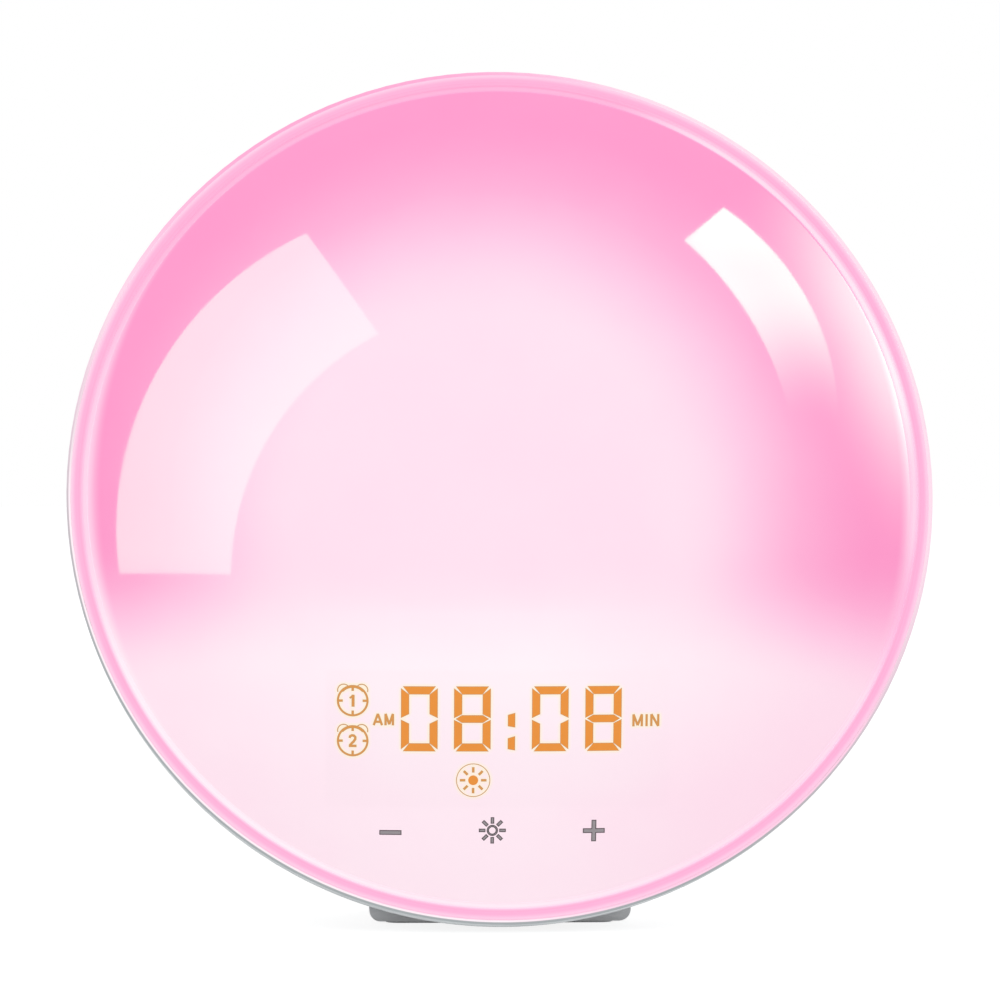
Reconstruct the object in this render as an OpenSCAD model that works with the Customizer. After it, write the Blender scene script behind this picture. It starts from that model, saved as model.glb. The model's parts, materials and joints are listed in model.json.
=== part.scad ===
// Sunrise alarm clock: a leaned bowl casing closed by a light dome, standing on one foot.
// Lengths are in millimetres. The clock faces -Y, +Z is up, and the origin is the centre of the
// foot pad's underside. Pieces inside the bowl are drawn in the bowl's own frame: +Z out through
// the dome, +Y up the face, and zero at the casing's front edge.

/* [Casing] */
// Largest radius of the bowl, at its front edge
casing_r = 86.4; // [84:0.2:104]
// Depth of the bowl behind its front edge
casing_depth = 54; // [52:0.5:65]
// Radius of the flat back
back_r = 50; // [50:0.5:54]
// Straight band between the front edge and the bowl's curve
lip_band = 2.5; // [1.5:0.5:4]
// Wall of the bowl
wall = 2.2; // [1.8:0.1:2.8]
// Wall beside the dome's flange
lip_wall = 0.8; // [0.7:0.1:1.1]
// Rounding of the front edge
lip_round = 0.5; // [0.3:0.1:0.7]
// Angle by which the face leans back
lean = 11; // [8:0.5:14]
// Ledge that carries the dome's flange: its width inside the wall
ledge_w = 2; // [1.5:0.1:2.5]
// Thickness of that ledge
ledge_t = 2.5; // [2:0.1:3]

/* [Dome] */
// Height of the dome above its flange
dome_h = 27; // [24:0.5:33]
// Wall of the dome
dome_wall = 2.2; // [1.8:0.1:2.6]
// Width of the flange outside the dome and its groove
flange_w = 2.1; // [1.5:0.1:2.4]
// Thickness of the flange
flange_t = 3; // [2.6:0.1:3.2]
// How far the flange stands proud of the casing's edge
flange_proud = 0.4; // [0.2:0.1:0.6]
// Width of the groove round the dome's foot
groove_w = 1.1; // [0.6:0.1:1.3]
// Depth of that groove
groove_d = 0.6; // [0.3:0.1:0.9]
// Depth of the locating skirt behind the casing's edge
skirt_depth = 6.6; // [6.2:0.1:7]
// Wall of the skirt
skirt_t = 2; // [1.6:0.1:2.2]

/* [Foot] */
// Width of the foot
foot_w = 52.4; // [48:0.2:63]
// Depth of the foot
foot_depth = 34; // [32:0.5:40]
// Height of the step at the foot's back, below its slope
foot_step = 5; // [4:0.5:8]
// Lean of the foot's back above the step
foot_slope = 28; // [15:1:35]
// Rounding of the foot's lower ends
foot_round = 2.6; // [1.5:0.1:3]
// Wall of the foot
foot_wall = 2.4; // [2:0.1:3]
// Gap between the bowl and the table
table_gap = 0.5; // [0.3:0.1:1]
// Clearance between the bowl's underside and the pad's front edge
pad_clear = 0.12; // [0.1:0.02:0.4]
// Thickness of the anti-slip pad
pad_t = 1.6; // [1.2:0.1:2]
// How far the pad stands out of the foot
pad_proud = 0.4; // [0.3:0.1:0.8]
// Margin of the foot round its pad
pad_margin = 3.4; // [3:0.1:5]

/* [Buttons] */
// Depth of the buttons' centres behind the casing's front edge
button_depth = 20; // [18:0.5:23]
// Length of a side button
button_len = 13.5; // [11:0.5:15]
// Length of the snooze button
snooze_len = 30; // [24:1:36]
// Width of the buttons, front to back
button_w = 7; // [6:0.5:7.5]
// Distance between side buttons
button_pitch = 22; // [20:0.5:25]
// How far the buttons stand out of the bowl
button_proud = 0.9; // [0.5:0.1:1]
// Travel of the buttons
button_travel = 0.6; // [0.4:0.1:0.8]
// Clearance of a button in its slot
button_gap = 0.3; // [0.2:0.05:0.4]
// Depth of the switch boards below the bowl's outside
switch_inset = 18; // [17.5:0.5:20]

/* [Display] */
// Distance of the display's centre below the dome's middle
display_drop = 48; // [45:0.2:50]
// Depth of the display's light box
box_depth = 8.5; // [7.5:0.5:9]
// Height of a digit
digit_h = 13.1; // [10.5:0.1:13.4]
// Width of a digit
digit_w = 7.1; // [6:0.1:7.4]
// Width of a segment
segment_w = 1.6; // [1.3:0.1:1.8]
// Distance of the touch marks below the dome's middle
touch_drop = 68.8; // [67.6:0.2:69]

/* [Speaker and grille] */
// Radius of the speaker
speaker_r = 25; // [22:0.5:26]
// Height of the speaker's centre above the bowl's axis
speaker_y = 16; // [15:0.5:18]
// Depth of the speaker's basket
basket_depth = 9; // [8:0.5:11]
// Radius of one grille hole
grille_hole_r = 1; // [0.7:0.1:1.2]
// Distance between rings of grille holes
grille_pitch = 4.2; // [3.8:0.1:4.6]
// Rings of grille holes round the middle one
grille_rings = 4; // [2:1:4]

/* [Back-up cell] */
// Radius of the battery door
door_r = 13.4; // [12.6:0.1:14]
// Radius of the coin cell
cell_r = 10; // [10:0.1:10.4]
// Thickness of the coin cell
cell_t = 3.2; // [2.5:0.1:3.6]
// Turn of the battery door from locked to open
door_turn = 60; // [45:5:60]

/* [Power and boards] */
// Thickness of the circuit boards
board_t = 1.6; // [1:0.1:1.8]
// Length of the power jack behind its board
jack_len = 14.2; // [13:0.1:15]
// Radius of the power jack's socket
jack_bore_r = 2.9; // [2.7:0.05:3]
// Radius of the power jack's centre pin
jack_pin_r = 1; // [0.9:0.05:1.1]

/* [Hidden] */

// Clearances
fit_gap = 0.3;
seat_gap = 0.1;
screw_gap = 0.05;
plunger_gap = 0.05;
flange_gap = 0.2;
over = 1;

// Dome and flange
rebate_r = casing_r - lip_wall;
flange_r = rebate_r - flange_gap;
flange_seat = flange_t - flange_proud;
dome_r = flange_r - flange_w - groove_w;
dome_round_r = (dome_r * dome_r + dome_h * dome_h) / (2 * dome_h);
dome_c = flange_proud + dome_h - dome_round_r;
inside_r = casing_r - wall;
ledge_r = inside_r - ledge_w;
skirt_r = ledge_r - fit_gap;

// Bowl: one arc that is tangent to the band and ends at the flat back
bowl_a = casing_r - back_r;
bowl_b = casing_depth - lip_band;
bowl_round_r = (bowl_a * bowl_a + bowl_b * bowl_b) / (2 * bowl_a);
bowl_c = casing_r - bowl_round_r;
back_z = -casing_depth + wall;

// Place of the bowl above the foot: its round underside has risen over the pad's front edge
underside_rise = pad_t + pad_clear - table_gap;
underside_run = sqrt(2 * bowl_round_r * underside_rise - underside_rise * underside_rise);
hub_z = table_gap + bowl_c * cos(lean) + lip_band * sin(lean) + bowl_round_r;
hub_y = pad_margin - foot_depth / 2 - underside_run + bowl_c * sin(lean) - lip_band * cos(lean);

// Reflector tray and the boards on it
tray_t = 2;
tray_top = -skirt_depth - fit_gap;
tray_back = tray_top - tray_t;
tray_r = inside_r - 1.4;
rim_t = 1.6;
rim_outer_r = skirt_r - skirt_t - 0.5;
rim_flare = 3.6;
rim_top = -1.2;
light_board_y = 8;
light_board_r = 47;
light_hole_r = 20;
white_ring_r = 42;
colour_ring_r = 31;
white_count = 16;
colour_count = 8;
light_screw_r = 25;

// Casing screws: wells through the bowl, bosses behind the tray
well_at = 43.8;
well_r = 3.6;
well_wall = 1.6;
well_web_z = -30;
well_web_t = 3;
screw_r = 1.4;
head_r = 2.7;
head_t = 2;
thread_len = 12;
boss_r = 4.4;

// Display
display_tilt = asin(display_drop / dome_round_r);
film_t = 0.4;
display_r = dome_round_r - dome_wall - film_t - 0.3;
box_left = -33.6;
box_right = 31;
box_top = 9;
box_low = -16.4;
slant = segment_w / 2;
cell_wall = 0.2;
digit_x = [-16.9, -6.5, 8.5, 18.9];
colon_at = [[1, -0.3], [1, -4.9]];
colon_size = [1.5, 2.3];
alarm_at = [[-29.7, 3.4], [-29.7, -4.5]];
sign_r = 3.1;
am_at = [-23.7, -0.3];
am_size = [4.3, 2.4];
min_at = [27.2, -0.5];
min_size = [5.5, 2.5];
sun_at = [-6.3, -12.3];
display_board_t = 1.2;
display_margin = 4.4;
post_r = 2;
display_screw_r = 1;

// Touch board
touch_x = [-22.3, -2.5, 17.4];
touch_board_z = tray_top + 2;
touch_board_t = 1.2;
touch_board_r = rim_outer_r - rim_flare - rim_t + 1;
spring_r = 2.8;
spring_wire_r = 0.35;
spring_turns = 5;

// Buttons and switches: distances out from the bowl's axis
switch_size = 6;
switch_h = 3.5;
plunger_r = 1.7;
plunger_out = 1;
plunger_in = 1.2;
stem_r = 2;
flange_lip = 1.1;
flange_thick = 1.4;
switch_board_out = casing_r - switch_inset;
switch_board_w = 12;
side_board_len = 2 * button_pitch + 16;
snooze_board_len = 36;
side_shifts = [button_pitch, 0, -button_pitch];
side_screws = [button_pitch / 2, -button_pitch / 2];
snooze_screws = [13, -13];
small_boss_r = 2.6;
switch_boss_r = 2.3;
small_screw_r = 1;
small_head_r = 1.9;
small_head_t = 1.3;
stem_from = switch_board_out + switch_h + plunger_out;

// Foot screws
foot_screw_x = 14;
foot_boss_top = 14;
foot_screw_from = pad_t + 1.4;
foot_screw_len = 8;
foot_screw_r = 1.4;
foot_head_t = 1.2;

// Main board
main_back = back_z + jack_len;
main_top = main_back + board_t;
board_x = 36;
board_low = -56;
board_high = -14;
main_bosses = [[33, -18], [33, -52], [-33, -52], [1, -18]];
jack_at = [16, -36];
jack_size = 9;
jack_nose_r = 4.4;
reset_at = [26, -24];
reset_travel = 0.3;
pinhole_r = 0.8;
antenna_at = [31, -33];
antenna_r = 2.4;

// Speaker
speaker_screw_at = speaker_r * 0.8 * sqrt(2) - 0.6;
speaker_boss_h = 2;
cone_gap = 0.3;
cone_r = speaker_r - 7;
magnet_r = 14;
magnet_t = 7;
basket_front = back_z + speaker_boss_h;

// Battery door and cell
door_at = [-26, -23.5];
door_gap = 0.15;
lug_w = 1.6;
lug_angle = 30;
lug_t = 1.4;
cup_r = door_r + lug_w + 0.4;
cup_wall = 1.6;
cup_floor = back_z + lug_t + 0.6 + cell_t + 0.4;
cup_floor_t = 1.4;
contact_x = 6;
contact_w = 4;

// Puts what is drawn in the bowl's frame in its place above the foot
module in_bowl() {
    translate([0, hub_y, hub_z]) rotate([90 - lean, 0, 0]) children();
}

// The display's frame: its origin lies on the dome's inside and +Z points out through the dome
module at_display() {
    translate([0, 0, dome_c]) rotate([display_tilt, 0, 0]) translate([0, 0, display_r]) children();
}

// A button's frame: +X points out through the bowl at the given angle round its axis
module at_button(angle, shift) {
    rotate([0, 0, angle]) translate([0, shift, -button_depth]) children();
}

// Height of the dome's inside above the casing's front edge, at a distance from the axis
function dome_inside(d) = dome_c + sqrt(pow(dome_round_r - dome_wall, 2) - d * d);

module bowl_section(inset) {
    intersection() {
        translate([0, -casing_depth + inset])
            square([casing_r - inset, casing_depth - inset]);
        union() {
            translate([bowl_c, -lip_band]) circle(bowl_round_r - inset, $fn = 180);
            translate([0, -casing_depth]) square([bowl_c, casing_depth]);
            translate([0, -lip_band]) square([casing_r - inset, lip_band]);
        }
    }
}

module bowl_volume(inset) {
    rotate_extrude($fn = 120) bowl_section(inset);
}

// A flat pill, length along Y and width along Z, that runs along X
module pill(length, width, from, to) {
    translate([from, 0, 0]) rotate([90, 0, 90]) linear_extrude(to - from) {
        square([length - width, width], center = true);
        for (side = [-1, 1]) translate([side * (length - width) / 2, 0]) circle(width / 2, $fn = 40);
    }
}

module ring(outer, inner, height) {
    difference() {
        cylinder(height, r = outer, $fn = 64);
        translate([0, 0, -over]) cylinder(height + 2 * over, r = inner, $fn = 64);
    }
}

// A pan-head screw along Z: the head's seat is at zero and the thread goes up
module screw(thread_r, length, cap_r, cap_t) {
    cylinder(length, r = thread_r, $fn = 24);
    difference() {
        translate([0, 0, -cap_t]) cylinder(cap_t, r = cap_r, $fn = 32);
        for (turn = [0, 90]) rotate(turn) translate([-cap_r * 0.6, -cap_t * 0.15, -cap_t - over])
            cube([cap_r * 1.2, cap_t * 0.3, over + cap_t * 0.5]);
    }
}

// A box with its middle on the Z axis and its base at zero
module block(size) {
    translate([-size[0] / 2, -size[1] / 2, 0]) cube(size);
}

module front_diffuser() {
    color("pink") in_bowl() rotate_extrude($fn = 120) difference() {
        union() {
            intersection() {
                translate([0, dome_c]) circle(dome_round_r, $fn = 360);
                translate([0, flange_proud - flange_t]) square([dome_r, dome_h + flange_t]);
            }
            translate([skirt_r - skirt_t, -flange_seat]) square([flange_r - skirt_r + skirt_t, flange_t]);
            translate([skirt_r - skirt_t, -skirt_depth]) square([skirt_t, skirt_depth]);
            snap_bead();
        }
        intersection() {
            translate([0, dome_c]) circle(dome_round_r - dome_wall, $fn = 360);
            translate([0, -skirt_depth - over]) square([skirt_r - skirt_t, dome_h + skirt_depth + 2 * over]);
        }
        translate([dome_r, flange_proud - groove_d]) square([groove_w, groove_d + over]);
    }
}

// The bead that snaps under the casing's ledge
module snap_bead() {
    bead = 0.5;
    translate([skirt_r - skirt_t / 2, -skirt_depth])
        square([skirt_t / 2 + bead, skirt_depth - flange_seat - ledge_t - fit_gap]);
}

module rear_casing() {
    color("whitesmoke") {
        in_bowl() difference() {
            union() {
                casing_shell();
                casing_bosses();
            }
            casing_cuts();
        }
    }
}

module casing_shell() {
    rotate_extrude($fn = 120) {
        difference() {
            bowl_section(0);
            bowl_section(wall);
            translate([0, -flange_seat]) square([rebate_r, flange_seat + over]);
            difference() {
                translate([casing_r - lip_round, -lip_round]) square(lip_round + over);
                translate([casing_r - lip_round, -lip_round]) circle(lip_round, $fn = 40);
            }
        }
        translate([ledge_r, -flange_seat - ledge_t]) square([ledge_w + wall / 2, ledge_t]);
    }
}

// Everything that stands on the inside of the bowl
module casing_bosses() {
    intersection() {
        bowl_volume(wall / 2);
        union() {
            for (x = [-1, 1], y = [-1, 1]) translate([x * well_at, y * well_at, -casing_depth])
                cylinder(casing_depth + well_web_z + well_web_t, r = well_r + well_wall, $fn = 40);
            for (p = main_bosses) translate([p[0], p[1], -casing_depth])
                cylinder(casing_depth + main_back, r = small_boss_r, $fn = 32);
            for (turn = [45 : 90 : 315]) translate([0, speaker_y, -casing_depth]) rotate(turn)
                translate([speaker_screw_at, 0, 0])
                    cylinder(casing_depth + basket_front, r = small_boss_r, $fn = 32);
            translate([door_at[0], door_at[1], -casing_depth])
                cylinder(casing_depth + cup_floor + cup_floor_t, r = cup_r + cup_wall, $fn = 64);
            switch_bosses(0, side_screws);
            switch_bosses(90, snooze_screws);
            switch_bosses(180, side_screws);
            foot_bosses();
        }
    }
}

module switch_bosses(angle, shifts) {
    for (shift = shifts) at_button(angle, shift) rotate([0, 90, 0])
        translate([0, 0, switch_board_out]) cylinder(switch_inset, r = switch_boss_r, $fn = 32);
}

// Puts what stands on the table, drawn in the table's frame, into the bowl's frame
module from_table() {
    rotate([lean - 90, 0, 0]) translate([0, -hub_y, -hub_z]) children();
}

module foot_bosses() {
    from_table() for (side = [-1, 1]) translate([side * foot_screw_x, 0, 0])
        cylinder(foot_boss_top, r = small_boss_r + 1, $fn = 32);
}

module casing_cuts() {
    for (x = [-1, 1], y = [-1, 1]) translate([x * well_at, y * well_at, 0]) {
        translate([0, 0, -casing_depth - over])
            cylinder(casing_depth + over + well_web_z, r = well_r, $fn = 40);
        translate([0, 0, well_web_z - over])
            cylinder(well_web_t + 2 * over, r = screw_r + screw_gap, $fn = 24);
    }
    for (p = main_bosses) translate([p[0], p[1], main_back - 8])
        cylinder(8 + over, r = small_screw_r + screw_gap, $fn = 24);
    for (turn = [45 : 90 : 315]) translate([0, speaker_y, back_z - 0.8]) rotate(turn)
        translate([speaker_screw_at, 0, 0])
            cylinder(speaker_boss_h + 0.8 + over, r = small_screw_r + screw_gap, $fn = 24);
    for (shift = side_shifts) for (angle = [0, 180]) button_slot(angle, shift, button_len);
    button_slot(90, 0, snooze_len);
    for (shift = side_screws) for (angle = [0, 180]) switch_boss_hole(angle, shift);
    for (shift = snooze_screws) switch_boss_hole(90, shift);
    grille();
    translate([jack_at[0], jack_at[1], -casing_depth - over])
        cylinder(wall + 2 * over, r = jack_nose_r + 0.1, $fn = 48);
    translate([reset_at[0], reset_at[1], -casing_depth - over])
        cylinder(wall + 2 * over, r = pinhole_r, $fn = 20);
    translate([antenna_at[0], antenna_at[1], -casing_depth - over])
        cylinder(wall + 2 * over, r = antenna_r + seat_gap, $fn = 32);
    battery_cuts();
    from_table() for (side = [-1, 1]) translate([side * foot_screw_x, 0, -over])
        cylinder(2 * over + foot_screw_from + foot_screw_len, r = foot_screw_r + screw_gap, $fn = 24);
}

module button_slot(angle, shift, length) {
    at_button(angle, shift)
        pill(length + 2 * button_gap, button_w + 2 * button_gap, casing_r * 0.75, casing_r + over);
}

module switch_boss_hole(angle, shift) {
    at_button(angle, shift) rotate([0, 90, 0]) translate([0, 0, switch_board_out - over])
        cylinder(7 + over, r = small_screw_r + screw_gap, $fn = 24);
}

// Rings of round holes, six more in each ring
module grille() {
    translate([0, speaker_y, -casing_depth - over]) {
        cylinder(wall + 2 * over, r = grille_hole_r, $fn = 20);
        for (ring_no = [1 : grille_rings]) for (k = [0 : 6 * ring_no - 1])
            rotate(k * 60 / ring_no) translate([ring_no * grille_pitch, 0, 0])
                cylinder(wall + 2 * over, r = grille_hole_r, $fn = 20);
    }
}

// The door's opening with notches for its lugs, the round space behind it and the cell's seat
module battery_cuts() {
    translate([door_at[0], door_at[1], 0]) {
        translate([0, 0, -casing_depth - over]) cylinder(wall + 2 * over, r = door_r + door_gap, $fn = 64);
        for (side = [0, 180]) rotate(side - door_turn) translate([0, 0, -casing_depth - over])
            lug_sector(door_r + lug_w + door_gap, lug_angle + 3, wall + 2 * over);
        translate([0, 0, back_z]) cylinder(lug_t + 0.6, r = cup_r, $fn = 64);
        translate([0, 0, back_z]) cylinder(cup_floor - back_z, r = cell_r + fit_gap, $fn = 64);
        for (side = [-1, 1]) translate([side * contact_x, 0, back_z]) block([contact_w + 0.6, 2.4, 20]);
    }
}

module lug_sector(radius, angle, height) {
    rotate(-angle / 2) rotate_extrude(angle = angle, $fn = 96) square([radius, height]);
}

module casing_screws() {
    color("silver") in_bowl() for (x = [-1, 1], y = [-1, 1])
        translate([x * well_at, y * well_at, well_web_z])
            screw(screw_r, well_web_t + thread_len, head_r, head_t);
}

module foot_block(inset, low, height) {
    intersection() {
        translate([0, foot_depth / 2 - inset, 0]) rotate([90, 0, 0])
            linear_extrude(foot_depth - 2 * inset) round_low(foot_w - 2 * inset, low, height);
        translate([-foot_w / 2 + inset, 0, 0]) rotate([90, 0, 90])
            linear_extrude(foot_w - 2 * inset) foot_side(foot_depth - 2 * inset, low, height);
    }
}

// The block's side outline: its back leans in above a low step
module foot_side(length, low, height) {
    difference() {
        round_low(length, low, height);
        translate([length / 2, low + foot_step]) rotate(foot_slope) square(2 * height);
    }
}

// A rectangle on a base line with its two lower corners rounded
module round_low(width, low, height) {
    translate([-width / 2, low + foot_round]) square([width, height - foot_round]);
    translate([-width / 2 + foot_round, low]) square([width - 2 * foot_round, foot_round]);
    for (side = [-1, 1]) translate([side * (width / 2 - foot_round), low + foot_round])
        circle(foot_round, $fn = 48);
}

module base_foot() {
    foot_top = 40;
    pad_depth = pad_t - pad_proud;
    floor_z = pad_proud + pad_depth + foot_wall + 0.6;
    color("gainsboro") difference() {
        foot_block(0, pad_proud, foot_top);
        in_bowl() bowl_volume(0);
        translate([0, 0, pad_proud - over]) pad_outline(fit_gap, over + pad_depth);
        difference() {
            translate([0, 0, floor_z]) block([foot_w - 2 * foot_wall, foot_depth - 2 * foot_wall, foot_top]);
            for (side = [-1, 1]) translate([side * foot_screw_x, 0, 0]) cylinder(foot_top, r = 4.6, $fn = 40);
        }
        for (side = [-1, 1]) translate([side * foot_screw_x, 0, -over]) {
            cylinder(over + foot_top, r = foot_screw_r + screw_gap, $fn = 24);
            cylinder(over + foot_screw_from, r = head_r + 0.2, $fn = 32);
        }
    }
}

module pad_outline(grow, height) {
    corner = 3;
    linear_extrude(height) {
        square([foot_w - 2 * pad_margin + 2 * grow, foot_depth - 2 * pad_margin - 2 * corner], center = true);
        square([foot_w - 2 * pad_margin - 2 * corner, foot_depth - 2 * pad_margin + 2 * grow], center = true);
        for (x = [-1, 1], y = [-1, 1])
            translate([x * (foot_w / 2 - pad_margin - corner), y * (foot_depth / 2 - pad_margin - corner)])
                circle(corner + grow, $fn = 32);
    }
}

module anti_slip_pad() {
    color("dimgray") pad_outline(0, pad_t);
}

module foot_screws() {
    color("silver") for (side = [-1, 1]) translate([side * foot_screw_x, 0, foot_screw_from])
        screw(foot_screw_r, foot_screw_len, head_r, foot_head_t);
}

module reflector_tray() {
    color("white") in_bowl() difference() {
        union() {
            translate([0, 0, tray_back]) cylinder(tray_t, r = tray_r, $fn = 120);
            rotate_extrude($fn = 120) polygon([
                [rim_outer_r - rim_flare - rim_t, tray_top - over], [rim_outer_r - rim_flare, tray_top - over],
                [rim_outer_r, rim_top], [rim_outer_r - rim_t, rim_top]]);
            for (x = [-1, 1], y = [-1, 1]) translate([x * well_at, y * well_at, well_web_z + well_web_t])
                cylinder(tray_back - well_web_z - well_web_t + over / 2, r = boss_r, $fn = 40);
            intersection() {
                at_display() for (p = display_posts()) translate([p[0], p[1], -60])
                    cylinder(60 - box_depth - display_board_t, r = post_r, $fn = 32);
                translate([0, 0, tray_top - over]) cylinder(40, r = tray_r, $fn = 64);
            }
            for (x = [-20, 20]) translate([touch_x[1] + x, -touch_drop, tray_top - over / 2])
                block([4, 6, touch_board_z - tray_top + over / 2]);
            for (turn = [90, 210, 330]) translate([0, light_board_y, tray_back - 4]) rotate(turn)
                translate([light_screw_r, 0, 0]) cylinder(4 + over, r = small_boss_r, $fn = 32);
        }
        for (x = [-1, 1], y = [-1, 1]) translate([x * well_at, y * well_at, well_web_z + well_web_t - over])
            cylinder(thread_len + 1 + over, r = screw_r + screw_gap, $fn = 24);
        for (turn = [90, 210, 330]) translate([0, light_board_y, tray_back - 3]) rotate(turn)
            translate([light_screw_r, 0, 0]) cylinder(20, r = small_screw_r + screw_gap, $fn = 24);
        at_display() for (p = display_posts())
            translate([p[0], p[1], -box_depth - display_board_t - 5])
                cylinder(6, r = display_screw_r + screw_gap, $fn = 24);
        translate([0, -30, tray_back - over]) block([24, 6, tray_t + 2 * over]);
    }
}

function display_posts() = [
    [box_left - display_margin / 2, box_top - 3], [box_right + display_margin / 2, box_top - 3],
    [box_left - display_margin / 2, box_low + 5], [box_right + display_margin / 2, box_low + 5]];

module light_board() {
    color("white") in_bowl() translate([0, light_board_y, tray_top]) difference() {
        ring(light_board_r, light_hole_r, board_t);
        for (turn = [90, 210, 330]) rotate(turn) translate([light_screw_r, 0, -over])
            cylinder(board_t + 2 * over, r = small_screw_r + screw_gap, $fn = 24);
    }
}

module led_ring(radius, count, size) {
    in_bowl() translate([0, light_board_y, tray_top + board_t])
        for (k = [0 : count - 1]) rotate((k + 0.5) * 360 / count) translate([radius, 0, 0]) block(size);
}

module white_leds() {
    color("khaki") led_ring(white_ring_r, white_count, [3.5, 2.8, 0.8]);
}

module colour_leds() {
    color("ivory") led_ring(colour_ring_r, colour_count, [5, 5, 1.4]);
}

module light_board_screws() {
    color("silver") in_bowl() for (turn = [90, 210, 330])
        translate([0, light_board_y, tray_top + board_t]) rotate(turn)
            translate([light_screw_r, 0, 0]) mirror([0, 0, 1])
                screw(small_screw_r, board_t + tray_t + 2, small_head_r, small_head_t);
}

// The light box's outline from the back up to the dome's inside
module display_outline(left, right, low, top, depth) {
    translate([left, low, -depth]) cube([right - left, top - low, depth + over]);
}

module inside_dome(radius) {
    translate([0, 0, -display_r]) sphere(radius, $fn = 180);
}

module display_film() {
    color("dimgray") in_bowl() at_display() difference() {
        intersection() {
            display_outline(box_left, box_right, box_low, box_top, box_depth);
            inside_dome(display_r + seat_gap + film_t);
        }
        inside_dome(display_r + seat_gap);
    }
}

module display_light_box() {
    color("white") in_bowl() at_display() difference() {
        intersection() {
            display_outline(box_left, box_right, box_low, box_top, box_depth);
            inside_dome(display_r);
        }
        translate([0, 0, -box_depth - over]) linear_extrude(box_depth + 3 * over) display_cells();
    }
}

// One cell for each lit shape: segments, colon, alarm marks, AM, MIN and the sun
module display_cells() {
    for (x = digit_x) translate([x, 0]) for (s = segments()) translate([s[0], s[1]]) rotate(s[2])
        segment_cell(s[3]);
    for (at = colon_at) translate(at) square(colon_size, center = true);
    translate(am_at) square(am_size, center = true);
    translate(min_at) square(min_size, center = true);
    for (at = concat(alarm_at, [sun_at])) translate(at) circle(sign_r, $fn = 32);
}

// Middle, turn and length of the seven segments of a digit
function segments() = [
    [0, digit_h / 2 - slant, 0, digit_w - segment_w],
    [0, 0, 0, digit_w - segment_w],
    [0, slant - digit_h / 2, 0, digit_w - segment_w],
    [slant - digit_w / 2, digit_h / 4 - slant / 2, 90, digit_h / 2 - slant],
    [digit_w / 2 - slant, digit_h / 4 - slant / 2, 90, digit_h / 2 - slant],
    [slant - digit_w / 2, slant / 2 - digit_h / 4, 90, digit_h / 2 - slant],
    [digit_w / 2 - slant, slant / 2 - digit_h / 4, 90, digit_h / 2 - slant]];

// A six-sided cell with pointed ends, a wall's half thinner than its segment all round
module segment_cell(length) {
    half = slant - cell_wall;
    end = length / 2 - cell_wall;
    polygon([[-end, 0], [half - end, half], [end - half, half], [end, 0], [end - half, -half], [half - end, -half]]);
}

module display_leds() {
    color("orange") in_bowl() at_display() translate([0, 0, -box_depth]) {
        for (x = digit_x) for (s = segments()) translate([x + s[0], s[1], 0]) rotate(s[2])
            block([1.6, 0.8, 0.6]);
        for (at = concat(colon_at, alarm_at, [am_at, min_at, sun_at])) translate(at) block([0.8, 1.6, 0.6]);
    }
}

module display_board() {
    color("darkgreen") in_bowl() at_display() translate([0, 0, -box_depth - display_board_t]) difference() {
        translate([box_left - display_margin, box_low, 0])
            cube([box_right - box_left + 2 * display_margin, box_top - box_low, display_board_t]);
        for (p = display_posts()) translate([p[0], p[1], -over])
            cylinder(display_board_t + 2 * over, r = display_screw_r + screw_gap, $fn = 24);
    }
}

module display_screws() {
    color("silver") in_bowl() at_display() for (p = display_posts())
        translate([p[0], p[1], -box_depth]) mirror([0, 0, 1])
            screw(display_screw_r, display_board_t + 4, 1.8, 1.2);
}

module touch_board() {
    color("darkgreen") in_bowl() translate([0, 0, touch_board_z]) intersection() {
        translate([touch_x[1], -touch_drop, 0]) block([46, 7, touch_board_t]);
        cylinder(touch_board_t, r = touch_board_r, $fn = 120);
    }
}

// A ring of points round the coil's wire, at a step along the coil
function coil_ring(at, height, sides) = [
    for (k = [0 : sides - 1])
        let (turn = at * 360 * spring_turns, lift = spring_wire_r + at * (height - 2 * spring_wire_r),
             out = spring_r + spring_wire_r * cos(k * 360 / sides))
            [out * cos(turn), out * sin(turn), lift + spring_wire_r * sin(k * 360 / sides)]];

module coil(height) {
    sides = 6;
    steps = spring_turns * 14;
    points = [for (s = [0 : steps]) each coil_ring(s / steps, height, sides)];
    walls = [for (s = [0 : steps - 1], k = [0 : sides - 1])
        [s * sides + k, s * sides + (k + 1) % sides, (s + 1) * sides + (k + 1) % sides, (s + 1) * sides + k]];
    ends = [[for (k = [sides - 1 : -1 : 0]) k], [for (k = [0 : sides - 1]) steps * sides + k]];
    polyhedron(points, concat(walls, ends), convexity = 10);
}

module touch_springs() {
    base = touch_board_z + touch_board_t;
    color("gold") in_bowl() for (x = touch_x) translate([x, -touch_drop, base])
        coil(dome_inside(norm([abs(x) + spring_r, touch_drop + spring_r])) - base - 0.2);
}

module main_board() {
    color("darkgreen") in_bowl() difference() {
        translate([-board_x, board_low, main_back]) cube([2 * board_x, board_high - board_low, board_t]);
        for (p = main_bosses) translate([p[0], p[1], main_back - over])
            cylinder(board_t + 2 * over, r = small_screw_r + screw_gap, $fn = 24);
    }
}

module main_board_screws() {
    color("silver") in_bowl() for (p = main_bosses) translate([p[0], p[1], main_top]) mirror([0, 0, 1])
        screw(small_screw_r, board_t + 6, small_head_r, small_head_t);
}

module main_board_chips() {
    color("black") in_bowl() translate([0, 0, main_top]) {
        translate([-14, -34, 0]) block([10, 10, 1.4]);
        translate([8, -44, 0]) block([8, 5, 1.5]);
        translate([22, -30, 0]) block([5, 4, 1.5]);
        translate([-27, -26, 0]) block([6, 5, 1.5]);
    }
}

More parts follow.
